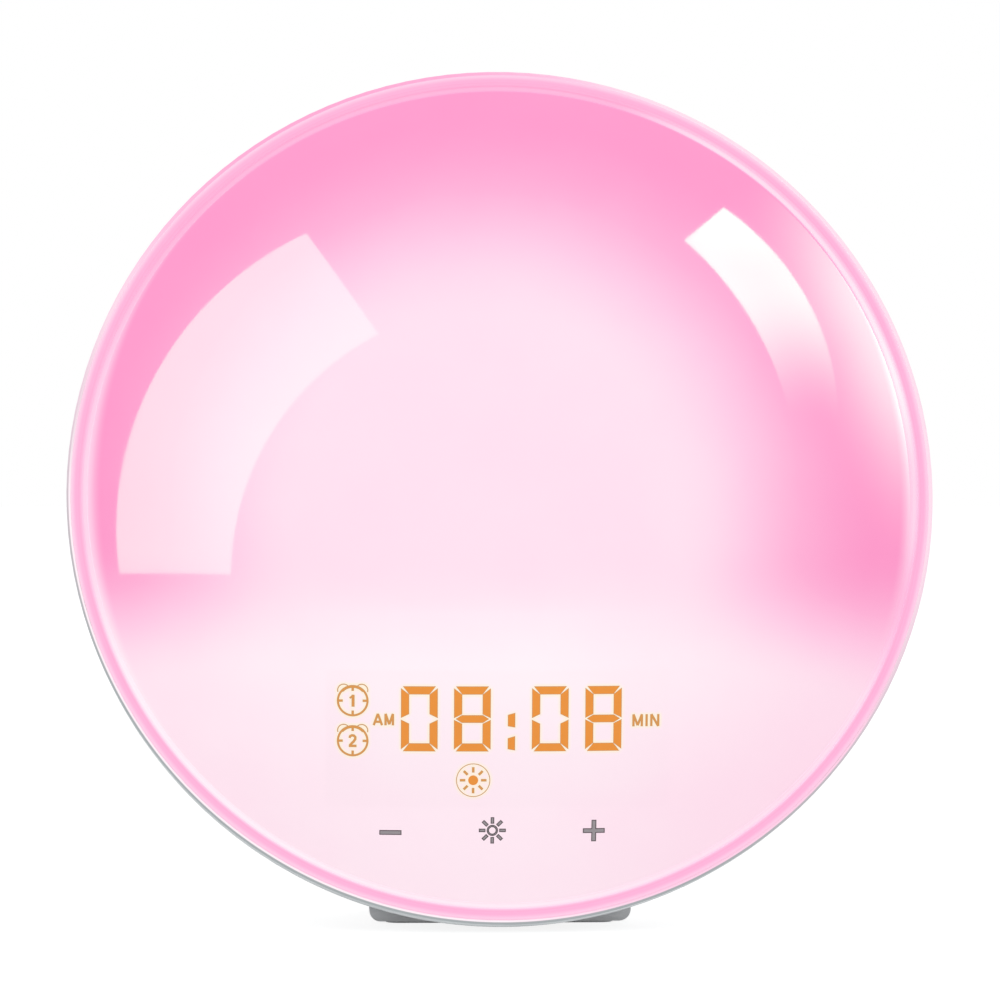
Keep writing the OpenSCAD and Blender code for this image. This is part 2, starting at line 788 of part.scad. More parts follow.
module capacitors() {
    color("darkslategray") in_bowl() translate([0, 0, main_top]) {
        for (p = [[26, -44], [18, -50]]) translate([p[0], p[1], 0]) cylinder(7, r = 3.1, $fn = 40);
        for (p = [[-4, -50], [-12, -50]]) translate([p[0], p[1], 0]) cylinder(5.4, r = 2.5, $fn = 40);
    }
}

module board_connectors() {
    color("ivory") in_bowl() translate([0, 0, main_top])
        for (p = [[-24, -48, 10], [-24, -36, 8], [16, -18, 6], [-16, -18, 12]]) translate([p[0], p[1], 0])
            difference() {
                block([p[2], 4.6, 6]);
                translate([0, 0, 1.2]) block([p[2] - 1.6, 3, 6]);
            }
}

module dc_jack() {
    color("dimgray") in_bowl() translate([jack_at[0], jack_at[1], back_z]) difference() {
        union() {
            translate([0, 0, 0.1]) block([jack_size, jack_size, jack_len - 0.1]);
            translate([0, 0, -wall + 0.4]) cylinder(wall + 1, r = jack_nose_r, $fn = 48);
        }
        translate([0, 0, -wall - over]) cylinder(10 + over, r = jack_bore_r, $fn = 48);
    }
}

module dc_jack_pin() {
    color("silver") in_bowl() translate([jack_at[0], jack_at[1], back_z]) {
        translate([0, 0, 0.6 - wall]) cylinder(9.4, r = jack_pin_r, $fn = 32);
        translate([0, 0, 0.6 - wall]) sphere(jack_pin_r, $fn = 32);
    }
}

module reset_switch() {
    color("dimgray") in_bowl() translate([reset_at[0], reset_at[1], main_back]) mirror([0, 0, 1])
        difference() {
            block([switch_size, switch_size, switch_h]);
            translate([0, 0, switch_h - plunger_in - reset_travel - 0.2])
                cylinder(switch_h, r = plunger_r + plunger_gap, $fn = 32);
        }
}

module reset_plunger() {
    color("black") in_bowl() translate([reset_at[0], reset_at[1], main_back]) mirror([0, 0, 1])
        translate([0, 0, switch_h - plunger_in])
            cylinder(jack_len - switch_h + plunger_in - 0.5, r = plunger_r, $fn = 32);
}

module antenna_grommet() {
    color("black") in_bowl() translate([antenna_at[0], antenna_at[1], -casing_depth]) difference() {
        union() {
            translate([0, 0, -0.8]) cylinder(0.8, r = antenna_r + 0.9, $fn = 40);
            cylinder(wall + 0.1, r = antenna_r, $fn = 40);
            translate([0, 0, wall + 0.1]) cylinder(1, r = antenna_r + 0.9, $fn = 40);
        }
        translate([0, 0, -2 * over]) cylinder(8, r = 0.9, $fn = 24);
    }
}

module at_speaker() {
    in_bowl() translate([0, speaker_y, basket_front]) children();
}

module speaker_frame() {
    rim = 1.2;
    seat = 4;
    color("dimgray") at_speaker() difference() {
        union() {
            cylinder(rim, r = speaker_r, $fn = 80);
            for (turn = [45 : 90 : 315]) rotate(turn) translate([speaker_screw_at, 0, 0])
                cylinder(rim, r = small_boss_r + 0.6, $fn = 32);
            rotate_extrude($fn = 80) polygon([
                [speaker_r - seat, 0], [speaker_r - seat + 1, 0], [magnet_r + 1, basket_depth],
                [0, basket_depth], [0, basket_depth - 1], [magnet_r, basket_depth - 1]]);
        }
        translate([0, 0, -over]) cylinder(over + rim + 0.01, r = speaker_r - seat, $fn = 80);
        for (turn = [0 : 60 : 300]) rotate(turn) translate([magnet_r + 3.4, 0, basket_depth / 2])
            rotate([0, 55, 0]) cylinder(12, r = 2.6, center = true, $fn = 24);
        for (turn = [45 : 90 : 315]) rotate(turn) translate([speaker_screw_at, 0, -over])
            cylinder(rim + 2 * over, r = small_screw_r + screw_gap, $fn = 24);
    }
}

module speaker_magnet() {
    color("gray") at_speaker() translate([0, 0, basket_depth]) {
        cylinder(1, r = magnet_r - 2, $fn = 64);
        translate([0, 0, 1]) cylinder(magnet_t - 2, r = magnet_r, $fn = 64);
        translate([0, 0, magnet_t - 1]) cylinder(1, r = magnet_r - 1, $fn = 64);
    }
}

module speaker_cone() {
    color("black") at_speaker() rotate_extrude($fn = 80) polygon([
        [0, 3.4], [5, 4.4], [5.6, 4.4], [cone_r, 0.2], [cone_r, 0.8], [6, 5.4], [6, 7],
        [5.2, 7], [5.2, 5.2], [0, 4.2]]);
}

module speaker_surround() {
    inner = cone_r + cone_gap;
    outer = speaker_r - 4 - seat_gap;
    mid = (inner + outer) / 2;
    color("black") at_speaker() rotate_extrude($fn = 80) translate([0, 0.4]) {
        intersection() {
            difference() {
                translate([mid, 0]) circle((outer - inner) / 2, $fn = 40);
                translate([mid, 0]) circle((outer - inner) / 2 - 0.4, $fn = 40);
            }
            translate([0, -5]) square([100, 5]);
        }
    }
}

module speaker_screws() {
    color("silver") at_speaker() for (turn = [45 : 90 : 315]) rotate(turn)
        translate([speaker_screw_at, 0, 1.2]) mirror([0, 0, 1])
            screw(small_screw_r, 1.2 + speaker_boss_h, small_head_r, small_head_t);
}

module at_door() {
    in_bowl() translate([door_at[0], door_at[1], -casing_depth]) children();
}

module battery_door() {
    slot_r = 22;
    color("whitesmoke") at_door() difference() {
        union() {
            cylinder(wall + lug_t + seat_gap, r = door_r, $fn = 64);
            for (side = [0, 180]) rotate(side) translate([0, 0, wall + seat_gap])
                lug_sector(door_r + lug_w, lug_angle, lug_t);
        }
        translate([0, 0, 1.8 - slot_r]) rotate([90, 0, 0]) cylinder(2, r = slot_r, center = true, $fn = 96);
        translate([0, 0, wall]) cylinder(lug_t + over, r = cell_r - 1.6, $fn = 64);
    }
}

module coin_cell() {
    color("silver") at_door() translate([0, 0, cup_floor - back_z + wall - cell_t - 0.2]) {
        cylinder(cell_t - 0.5, r = cell_r, $fn = 64);
        translate([0, 0, cell_t - 0.5]) cylinder(0.5, r = cell_r - 1.4, $fn = 64);
    }
}

module cell_contacts() {
    foot_h = cup_floor + 0.1;
    color("gold") in_bowl() translate([door_at[0], door_at[1], 0]) for (side = [-1, 1])
        translate([side * contact_x, 0, foot_h - 0.3])
            difference() {
                block([contact_w, 1.8, main_back - foot_h + 0.3]);
                translate([0, 0.5, 0.6]) block([contact_w + 2, 1.8, main_back - foot_h - 0.9]);
            }
}

// A cap that follows the bowl's outside, its flange inside the wall and the stem to its switch
module button(angle, shift, length) {
    reach = casing_r + over;
    root = casing_r * 0.75;
    color("gainsboro") in_bowl() at_button(angle, shift) {
        difference() {
            union() {
                intersection() {
                    pill(length, button_w, root, reach);
                    back_to_bowl(angle, shift) bowl_volume(-button_proud);
                }
                intersection() {
                    pill(length + 2 * flange_lip, button_w + 2 * flange_lip, root, reach);
                    back_to_bowl(angle, shift) bowl_volume(wall + button_gap);
                }
            }
            back_to_bowl(angle, shift) bowl_volume(wall + button_gap + flange_thick);
        }
        intersection() {
            translate([stem_from, 0, 0]) rotate([0, 90, 0]) cylinder(switch_inset, r = stem_r, $fn = 32);
            back_to_bowl(angle, shift) bowl_volume(wall / 2);
        }
    }
}

module back_to_bowl(angle, shift) {
    translate([0, -shift, button_depth]) rotate([0, 0, -angle]) children();
}

module plunger(angle, shift) {
    color("black") in_bowl() at_button(angle, shift) translate([switch_board_out + switch_h - plunger_in, 0, 0])
        rotate([0, 90, 0]) cylinder(plunger_in + plunger_out, r = plunger_r, $fn = 32);
}

module switch_body(angle, shift) {
    depth = plunger_in + button_travel + 0.2;
    color("dimgray") in_bowl() at_button(angle, shift) translate([switch_board_out, 0, 0]) rotate([0, 90, 0])
        difference() {
            block([switch_size, switch_size, switch_h]);
            translate([0, 0, switch_h - depth]) cylinder(depth + over, r = plunger_r + plunger_gap, $fn = 32);
        }
}

module switch_board(angle, length, shifts) {
    color("darkgreen") in_bowl() at_button(angle, 0) translate([switch_board_out - board_t, 0, 0])
        rotate([0, 90, 0]) difference() {
            block([switch_board_w, length, board_t]);
            for (shift = shifts) translate([0, shift, -over])
                cylinder(board_t + 2 * over, r = small_screw_r + screw_gap, $fn = 24);
        }
}

module board_screws(angle, shifts) {
    in_bowl() for (shift = shifts) at_button(angle, shift)
        translate([switch_board_out - board_t, 0, 0]) rotate([0, 90, 0])
            screw(small_screw_r, board_t + 6, small_head_r, small_head_t);
}

module switch_board_screws() {
    color("silver") {
        board_screws(0, side_screws);
        board_screws(180, side_screws);
        board_screws(90, snooze_screws);
    }
}

front_diffuser();
rear_casing();
base_foot();
anti_slip_pad();
foot_screws();
casing_screws();
reflector_tray();
light_board();
white_leds();
colour_leds();
light_board_screws();
display_film();
display_light_box();
display_leds();
display_board();
display_screws();
touch_board();
touch_springs();
main_board();
main_board_chips();
capacitors();
board_connectors();
main_board_screws();
dc_jack();
dc_jack_pin();
reset_switch();
reset_plunger();
antenna_grommet();
speaker_frame();
speaker_magnet();
speaker_cone();
speaker_surround();
speaker_screws();
battery_door();
coin_cell();
cell_contacts();
button(90, 0, snooze_len);  // snooze_button
plunger(90, 0);  // snooze_plunger
switch_body(90, 0);  // snooze_switch
switch_board(90, snooze_board_len, snooze_screws);  // snooze_switch_board
button(180, -side_shifts[0], button_len);  // left_button_1
button(180, -side_shifts[1], button_len);  // left_button_2
button(180, -side_shifts[2], button_len);  // left_button_3
plunger(180, -side_shifts[0]);  // left_plunger_1
plunger(180, -side_shifts[1]);  // left_plunger_2
plunger(180, -side_shifts[2]);  // left_plunger_3
for (shift = side_shifts) switch_body(180, shift);  // left_switches
switch_board(180, side_board_len, side_screws);  // left_switch_board
button(0, side_shifts[0], button_len);  // right_button_1
button(0, side_shifts[1], button_len);  // right_button_2
button(0, side_shifts[2], button_len);  // right_button_3
plunger(0, side_shifts[0]);  // right_plunger_1
plunger(0, side_shifts[1]);  // right_plunger_2
plunger(0, side_shifts[2]);  // right_plunger_3
for (shift = side_shifts) switch_body(0, shift);  // right_switches
switch_board(0, side_board_len, side_screws);  // right_switch_board
switch_board_screws();
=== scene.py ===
import json
import math

import bmesh
import bpy
import numpy as np
from mathutils import Matrix, Vector


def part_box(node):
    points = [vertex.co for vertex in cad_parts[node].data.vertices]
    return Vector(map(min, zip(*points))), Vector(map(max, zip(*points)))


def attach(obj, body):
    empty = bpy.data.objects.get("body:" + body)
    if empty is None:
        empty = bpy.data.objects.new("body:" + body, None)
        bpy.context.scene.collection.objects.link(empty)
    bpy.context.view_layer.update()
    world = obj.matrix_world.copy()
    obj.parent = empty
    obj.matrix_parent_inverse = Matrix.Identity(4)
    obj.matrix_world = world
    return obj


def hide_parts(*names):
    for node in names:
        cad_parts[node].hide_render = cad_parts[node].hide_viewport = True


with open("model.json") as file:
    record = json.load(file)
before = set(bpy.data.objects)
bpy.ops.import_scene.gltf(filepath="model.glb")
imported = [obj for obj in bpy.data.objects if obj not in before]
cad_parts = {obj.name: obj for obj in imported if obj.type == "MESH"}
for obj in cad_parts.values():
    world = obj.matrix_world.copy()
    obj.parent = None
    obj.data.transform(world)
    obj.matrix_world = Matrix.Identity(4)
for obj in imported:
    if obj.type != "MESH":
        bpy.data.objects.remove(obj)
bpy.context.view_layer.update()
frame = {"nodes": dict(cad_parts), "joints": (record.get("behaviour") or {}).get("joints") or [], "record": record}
mm = 0.001
body = "clock"
creaseAngle = 32  # degrees, over which an edge is shown sharp
weldDistance = 1e-7
mostOfEdge = 0.45  # the share of an edge that one rounded corner may take
tiny = 1e-9  # keeps a division off zero
print("clock: frame loaded")


domeShape = {
    "radius": 82.2 * mm,  # where the dome meets its groove
    "height": 27 * mm,
    "wall": 2.2 * mm,
    "grooveWidth": 1.1 * mm,
    "grooveDepth": 0.6 * mm,
    "flangeWidth": 2.23 * mm,  # nearly closes the gap to the casing
    "flangeDepth": 3 * mm,
    "flangeProud": 0.4 * mm,  # over the casing's front edge
    "skirtRadius": 81.9 * mm,
    "skirtWall": 2 * mm,
    "skirtDepth": 6.6 * mm,
    "bead": 0.5 * mm,  # the snap bead stands out of the skirt by this
    "beadHeight": 1.2 * mm,
    "edgeRound": 0.25 * mm,
    "arcSteps": 96,
    "turns": 300,
}

# The battery door turns on a line that is parallel to the bowl's axis.
doorAxis = next(joint["axis"] for joint in frame["joints"] if joint["name"] == "door_turn")
lean = math.atan2(-doorAxis[2], doorAxis[1])
sinLean, cosLean = math.sin(lean), math.cos(lean)

# A sphere's radius from the cap's own radius and height: (r r + h h) / 2 h.
domeRadius = domeShape["radius"]
sphereRadius = (domeRadius ** 2 + domeShape["height"] ** 2) / (2 * domeShape["height"])
sphereMiddle = domeShape["flangeProud"] + domeShape["height"] - sphereRadius
toneReach = 81.6 * mm

# The flange reaches equally far up and down the face, and the dome's front is the lowest Y.
domeLow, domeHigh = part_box("front_diffuser")
flangeBack = domeShape["flangeProud"] - domeShape["flangeDepth"]
hubZ = (domeHigh.z + domeLow.z - (domeShape["flangeProud"] + flangeBack) * sinLean) / 2
hubY = domeLow.y + sphereMiddle * cosLean + sphereRadius
hub = np.array([0, hubY, hubZ])
sphereCentre = hub + np.array([0, -sphereMiddle * cosLean, sphereMiddle * sinLean])


def fromBowl(points):
    # The bowl's frame has +Z out through the dome and +Y up the face; both are turned back by the lean.
    x, y, z = points[..., 0], points[..., 1], points[..., 2]
    return hub + np.stack([x, y * sinLean - z * cosLean, y * cosLean + z * sinLean], -1)


def onDome(x, z, lift=0.0):
    # A point seen from straight in front at x, z lies on the sphere at y = centre - sqrt(R R - x x - z z).
    reach = (sphereRadius + lift) ** 2 - (x - sphereCentre[0]) ** 2 - (z - sphereCentre[2]) ** 2
    return np.stack([x, sphereCentre[1] - np.sqrt(reach), z], -1)


def makePiece(name, points, faces, material, slot=None, outward=False):
    # With outward set, points in one place are joined and the faces turned outwards.
    mesh = bpy.data.meshes.new(name)
    mesh.from_pydata(points.reshape(-1, 3).tolist(), [], faces)
    if outward:
        work = bmesh.new()
        work.from_mesh(mesh)
        bmesh.ops.remove_doubles(work, verts=work.verts, dist=weldDistance)
        bmesh.ops.recalc_face_normals(work, faces=work.faces)
        work.to_mesh(mesh)
        work.free()
    mesh.shade_smooth()
    mesh.set_sharp_from_angle(angle=math.radians(creaseAngle))
    mesh.materials.append(material)
    piece = bpy.data.objects.new(name, mesh)
    bpy.context.scene.collection.objects.link(piece)
    if slot:
        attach(piece, body)
    return piece


def roundCorners(points, cut, steps=4):
    # Each inner corner becomes a quadratic curve that starts and ends one cut away from it.
    rounded = [points[0]]
    share = np.linspace(0, 1, steps + 1)[:, None]
    for before, corner, after in zip(points[:-2], points[1:-1], points[2:]):
        back, ahead = before - corner, after - corner
        start = corner + back * min(cut / np.linalg.norm(back), mostOfEdge)
        end = corner + ahead * min(cut / np.linalg.norm(ahead), mostOfEdge)
        rounded.extend((1 - share) ** 2 * start + 2 * share * (1 - share) * corner + share ** 2 * end)
    rounded.append(points[-1])
    return np.array(rounded)


def revolve(profile, turns):
    # Every profile point (r, z) goes round the bowl's axis; its first and last points are the two poles.
    angle = np.linspace(0, 2 * math.pi, turns, endpoint=False)
    rings = profile[1:-1]
    grid = np.empty((len(rings), turns, 3))
    grid[..., 0] = rings[:, :1] * np.cos(angle)
    grid[..., 1] = rings[:, :1] * np.sin(angle)
    grid[..., 2] = rings[:, 1:]
    poles = np.array([[0, 0, profile[0, 1]], [0, 0, profile[-1, 1]]])
    points = np.concatenate([grid.reshape(-1, 3), poles])
    row = np.arange(len(rings) - 1)[:, None] * turns
    here = np.arange(turns)
    there = (here + 1) % turns
    quads = np.stack([row + here, row + turns + here, row + turns + there, row + there], -1).reshape(-1, 4)
    front, back = len(points) - 2, len(points) - 1
    last = (len(rings) - 1) * turns
    capFront = np.stack([np.full(turns, front), here, there], -1)
    capBack = np.stack([np.full(turns, back), last + there, last + here], -1)
    return points, quads.tolist() + capFront.tolist() + capBack.tolist()


def toLight(share):
    # A screen tone of 0 to 1 to light, above the straight toe: ((c + 0.055) / 1.055) ^ 2.4.
    return ((share + 0.055) / 1.055) ** 2.4


def linear(red, green, blue):
    # Screen colours of 0 to 255 to light; the toe is c / 12.92.
    share = np.array([red, green, blue]) / 255
    return tuple(np.where(share <= 0.04045, share / 12.92, toLight(share)))


def newMaterial(name):
    material = bpy.data.materials.new(name)
    material.use_nodes = True
    tree = material.node_tree
    return material, tree, tree.nodes["Principled BSDF"]


def feed(tree, socket, value):
    if isinstance(value, bpy.types.NodeSocket):
        tree.links.new(value, socket)
    elif socket.type == "RGBA":
        socket.default_value = (*value[:3], 1)
    else:
        socket.default_value = value


def addNode(tree, kind, inputs, **settings):
    node = tree.nodes.new("ShaderNode" + kind)
    for key, value in settings.items():
        setattr(node, key, value)
    for key, value in inputs.items():
        feed(tree, node.inputs[key], value)
    return node


def calc(tree, operation, *values):
    return addNode(tree, "Math", dict(enumerate(values)), operation=operation).outputs[0]


def product(tree, first, *others):
    for other in others:
        first = calc(tree, "MULTIPLY", first, other)
    return first


def between(tree, value, low, high, toLow=0.0, toHigh=1.0):
    # A smooth step: toLow below low, toHigh above high.
    inputs = {"Value": value, "From Min": low, "From Max": high, "To Min": toLow, "To Max": toHigh}
    return addNode(tree, "MapRange", inputs, interpolation_type="SMOOTHSTEP").outputs["Result"]


def length(tree, across, up):
    # The square root of across across + up up.
    squares = (product(tree, side, side) for side in (across, up))
    return calc(tree, "SQRT", calc(tree, "ADD", *squares))


# The Mix node has its numbers at inputs 2 and 3 and output 0, and its colours at inputs 6 and 7 and output 2.
def blendTone(tree, share, first, second):
    return addNode(tree, "Mix", {0: share, 2: first, 3: second}, data_type="FLOAT").outputs[0]


def blendColour(tree, share, first, second, kind="MIX"):
    return addNode(tree, "Mix", {0: share, 6: first, 7: second}, data_type="RGBA", blend_type=kind).outputs[2]


def objectPlace(tree):
    return addNode(tree, "TexCoord", {}).outputs["Object"]


def bowlPlace(tree):
    # Object coordinates turned into the bowl's frame and measured in the tone's reach, so one is the dome's rim.
    node = addNode(tree, "Mapping", {"Vector": objectPlace(tree)}, vector_type="TEXTURE")
    node.inputs["Location"].default_value = tuple(hub)
    node.inputs["Rotation"].default_value = (math.pi / 2 - lean, 0, 0)
    node.inputs["Scale"].default_value = (toneReach,) * 3
    return addNode(tree, "SeparateXYZ", {"Vector": node.outputs[0]}).outputs


litTones = [(0.60, (252, 153, 201)), (0.70, (253, 177, 214)), (0.79, (254, 202, 228)),
            (0.886, (254, 226, 239)), (0.95, (255, 242, 248)), (1.0, (255, 253, 253))]
sheen = 0.045  # light that the glossy outside sends back


def lampColour(red, green, blue):
    return tuple(max(0.0, channel - sheen) for channel in linear(red, green, blue))


def toneRamp(tree, tone):
    # From the deepest pink of the lit plastic to white.
    ramp = addNode(tree, "ValToRGB", {"Fac": tone})
    stops = ramp.color_ramp.elements
    while len(stops) < len(litTones):
        stops.new(1.0)
    for stop, (position, colour) in zip(stops, litTones):
        stop.position = position
        stop.color = (*lampColour(*colour), 1)
    return ramp.outputs["Color"]


# Each kind's octaves of detail and how strong the finer ones are.
noiseKinds = {"plain": (2, 0.5), "broad": (3, 0.5), "grain": (3, 0.6), "fine": (4, 0.6), "smudge": (4, 0.65)}
noiseSpan = (0.3, 0.7)  # where most of a noise's values lie


def noise(tree, size, kind="plain"):
    # Noise whose features are about size mm wide.
    detail, roughness = noiseKinds[kind]
    inputs = {"Vector": objectPlace(tree), "Scale": 1 / (size * mm), "Detail": detail, "Roughness": roughness}
    return addNode(tree, "TexNoise", inputs).outputs["Fac"]


def noiseOver(tree, low, high, size, kind):
    # Noise that is spread over low to high.
    return between(tree, noise(tree, size, kind), *noiseSpan, low, high)


def bump(tree, height, depth):
    # Heights of 0 to 1 stand for 0 to depth mm.
    return addNode(tree, "Bump", {"Height": height, "Distance": depth * mm, "Strength": 1.0}).outputs["Normal"]


finishes = {
    "casing_plastic": {"colour": (187, 190, 194), "roughness": 0.42, "grain": 0.45, "depth": 0.012},
    "foot_plastic": {"colour": (234, 236, 238), "roughness": 0.45, "grain": 0.45, "depth": 0.012},
    "button_plastic": {"colour": (196, 197, 202), "roughness": 0.34, "grain": 0.5, "depth": 0.006},
    "pad_rubber": {"colour": (196, 197, 200), "roughness": 0.82, "grain": 0.25, "depth": 0.03},
    "tray_plastic": {"colour": (238, 238, 236), "roughness": 0.5, "grain": 0.6, "depth": 0.006},
    "light_box_plastic": {"colour": (236, 236, 232), "roughness": 0.55, "grain": 0.6, "depth": 0.006},
    "film": {"colour": (120, 108, 108), "roughness": 0.25, "grain": 1.5, "depth": 0.002},
    "board_white": {"colour": (232, 233, 228), "roughness": 0.38, "grain": 0.8, "depth": 0.004},
    "led_white": {"colour": (236, 214, 120), "roughness": 0.3, "grain": 0.5, "depth": 0.002},
    "led_colour": {"colour": (236, 234, 226), "roughness": 0.28, "grain": 0.5, "depth": 0.002},
    "led_orange": {"colour": (238, 151, 69), "roughness": 0.3, "grain": 0.5, "depth": 0.002},
    "black_plastic": {"colour": (34, 34, 36), "roughness": 0.5, "grain": 0.4, "depth": 0.01},
    "capacitor_sleeve": {"colour": (44, 52, 70), "roughness": 0.3, "grain": 1.2, "depth": 0.004},
    "connector_plastic": {"colour": (232, 226, 208), "roughness": 0.45, "grain": 0.5, "depth": 0.006},
    "cone_paper": {"colour": (40, 38, 38), "roughness": 0.9, "grain": 0.35, "depth": 0.05},
    "soft_rubber": {"colour": (46, 46, 48), "roughness": 0.7, "grain": 0.3, "depth": 0.015},
    "steel": {"colour": (190, 190, 188), "roughness": 0.28, "grain": 0.25, "depth": 0.004, "metal": True},
    "spring_metal": {"colour": (214, 186, 120), "roughness": 0.3, "grain": 0.3, "depth": 0.003, "metal": True},
    "magnet": {"colour": (92, 92, 94), "roughness": 0.55, "grain": 0.5, "depth": 0.02, "metal": True},
}

surfaceDrift = {"colour": 0.05, "colourSize": 24, "fine": 0.03, "fineSize": 2.2, "darker": 0.8, "lighter": 1.12,
                "balance": 0.55, "roughness": 0.14, "smudge": 9, "smudgeSpan": (0.25, 0.75)}


def addFinish(name, look):
    # Colour drifts with a broad and a fine noise, roughness with smudges, and the mould's grain is a bump.
    material, tree, shader = newMaterial(name)
    drifts = surfaceDrift
    colour = linear(*look["colour"])
    drift = calc(tree, "ADD", noiseOver(tree, -drifts["colour"], drifts["colour"], drifts["colourSize"], "broad"),
                 noiseOver(tree, -drifts["fine"], drifts["fine"], drifts["fineSize"], "fine"))
    darker = tuple(channel * drifts["darker"] for channel in colour)
    lighter = tuple(min(1.0, channel * drifts["lighter"]) for channel in colour)
    shown = blendColour(tree, calc(tree, "ADD", drift, drifts["balance"]), darker, lighter)
    smudge = noise(tree, drifts["smudge"], "smudge")
    spread = drifts["roughness"] * look["roughness"]
    grain = noise(tree, look["grain"], "grain")
    feed(tree, shader.inputs["Base Color"], shown)
    feed(tree, shader.inputs["Roughness"],
         between(tree, smudge, *drifts["smudgeSpan"], look["roughness"] - spread, look["roughness"] + spread))
    feed(tree, shader.inputs["Metallic"], 1.0 if look.get("metal") else 0.0)
    feed(tree, shader.inputs["Normal"], bump(tree, grain, look["depth"]))
    return material, tree, shader, shown


circuit = {"mask": (22, 92, 58), "track": (44, 128, 84), "trackSize": 2.4, "trackFrom": (0.42, 0.5),
           "copper": (196, 160, 96), "padSize": 5, "padFrom": (0.1, 0.12), "padMetal": 0.8,
           "roughness": (0.26, 0.4), "smudge": 6, "raised": 0.03}


def addCircuitBoard():
    # Solder mask with a weave of raised tracks, from the borders of square cells, and tinned pads.
    material, tree, shader = newMaterial("board_green")
    place = objectPlace(tree)
    cells = addNode(tree, "TexVoronoi", {"Vector": place, "Scale": 1 / (circuit["trackSize"] * mm)},
                    feature="F1", distance="CHEBYCHEV").outputs["Distance"]
    track = between(tree, cells, *circuit["trackFrom"])
    dots = addNode(tree, "TexVoronoi", {"Vector": place, "Scale": 1 / (circuit["padSize"] * mm)},
                   feature="F1").outputs["Distance"]
    pad = between(tree, dots, *circuit["padFrom"], 1, 0)
    masked = blendColour(tree, track, linear(*circuit["mask"]), linear(*circuit["track"]))
    feed(tree, shader.inputs["Base Color"], blendColour(tree, pad, masked, linear(*circuit["copper"])))
    feed(tree, shader.inputs["Roughness"], noiseOver(tree, *circuit["roughness"], circuit["smudge"], "broad"))
    feed(tree, shader.inputs["Metallic"], product(tree, pad, circuit["padMetal"]))
    feed(tree, shader.inputs["Normal"], bump(tree, calc(tree, "ADD", track, pad), circuit["raised"]))
    return material


# Directions are across and up the face. "From" pairs are the cosines towards a direction over which an effect grows.
# line is a span of radius in mm, and lineDepth and side are spans of height along the bowl's axis.
# Painted light and shade on the casing's front edge: a pink glow on the edge and side, a painted grey shade where
# they face down to the left, and a thin white painted highlight line; grey is the colour of that painted shade.
lipPaintedLight = {"line": (85.88, 86.06), "lineDepth": (-0.4, -0.2), "lineTone": 0.945, "lineFrom": (0.0, 0.35),
       "lineLess": 0.13, "lowerRight": (0.707, -0.707), "lessFrom": (0.7, 0.95),
       "side": (-9, -1.5), "sideTone": 0.87, "top": (-0.375, 0.927), "topFrom": (0.7, 1.05), "topLess": 0.2,
       "grey": (170, 176, 178), "shadedSide": (-0.309, -0.951), "shadedSideFrom": (-0.28, 0.78), "strength": 0.75}


def towards(tree, across, up, direction):
    # The cosine of the angle between a place's direction from the middle and this one.
    return calc(tree, "ADD", product(tree, across, direction[0]), product(tree, up, direction[1]))


def addPaintedLipLight(tree, shader, shown):
    # Painted light: the dome's light on the casing's front edge and its side behind it is painted in as colour
    # and emission. Where they face down to the left the side is a painted grey shade, and only a thin white line,
    # a painted highlight, is left on the edge.
    x, y, z = bowlPlace(tree)
    radius = length(tree, x, y)
    across, up = calc(tree, "DIVIDE", x, radius), calc(tree, "DIVIDE", y, radius)
    reach, depth = (product(tree, value, toneReach / mm) for value in (radius, z))
    facing = towards(tree, across, up, lipPaintedLight["shadedSide"])
    topLess = between(tree, towards(tree, across, up, lipPaintedLight["top"]), *lipPaintedLight["topFrom"], 0, lipPaintedLight["topLess"])
    sideColour = toneRamp(tree, calc(tree, "SUBTRACT", lipPaintedLight["sideTone"], topLess))
    side = blendColour(tree, between(tree, facing, *lipPaintedLight["shadedSideFrom"]), sideColour, lampColour(*lipPaintedLight["grey"]))
    line = product(tree, between(tree, reach, *lipPaintedLight["line"], 1, 0), between(tree, facing, *lipPaintedLight["lineFrom"]))
    line = product(tree, line, between(tree, depth, *lipPaintedLight["lineDepth"]))
    lineLess = between(tree, towards(tree, across, up, lipPaintedLight["lowerRight"]), *lipPaintedLight["lessFrom"], 0, lipPaintedLight["lineLess"])
    spill = blendColour(tree, line, side, toneRamp(tree, calc(tree, "SUBTRACT", lipPaintedLight["lineTone"], lineLess)))
    share = between(tree, depth, *lipPaintedLight["side"])
    own = 1 - lipPaintedLight["strength"]
    dimmed = blendColour(tree, 1.0, spill, (own, own, own), "MULTIPLY")
    feed(tree, shader.inputs["Base Color"], blendColour(tree, share, shown, dimmed))
    feed(tree, shader.inputs["Emission Color"], blendColour(tree, share, (0, 0, 0), spill))
    feed(tree, shader.inputs["Emission Strength"], lipPaintedLight["strength"])


materials = {"board_green": addCircuitBoard()}
for finishName, finishLook in finishes.items():
    finished, finishTree, finishShader, finishColour = addFinish(finishName, finishLook)
    # The casing's finish gets the painted light and shade of its front edge.
    if finishName == "casing_plastic":
        addPaintedLipLight(finishTree, finishShader, finishColour)
    materials[finishName] = finished

for subpart in frame["record"]["subparts"]:
    slotName = subpart["material_slot"]
    if slotName in materials:
        for holder in frame["nodes"][subpart["node"]].material_slots:
            holder.material = materials[slotName]
print("clock: finishes done")


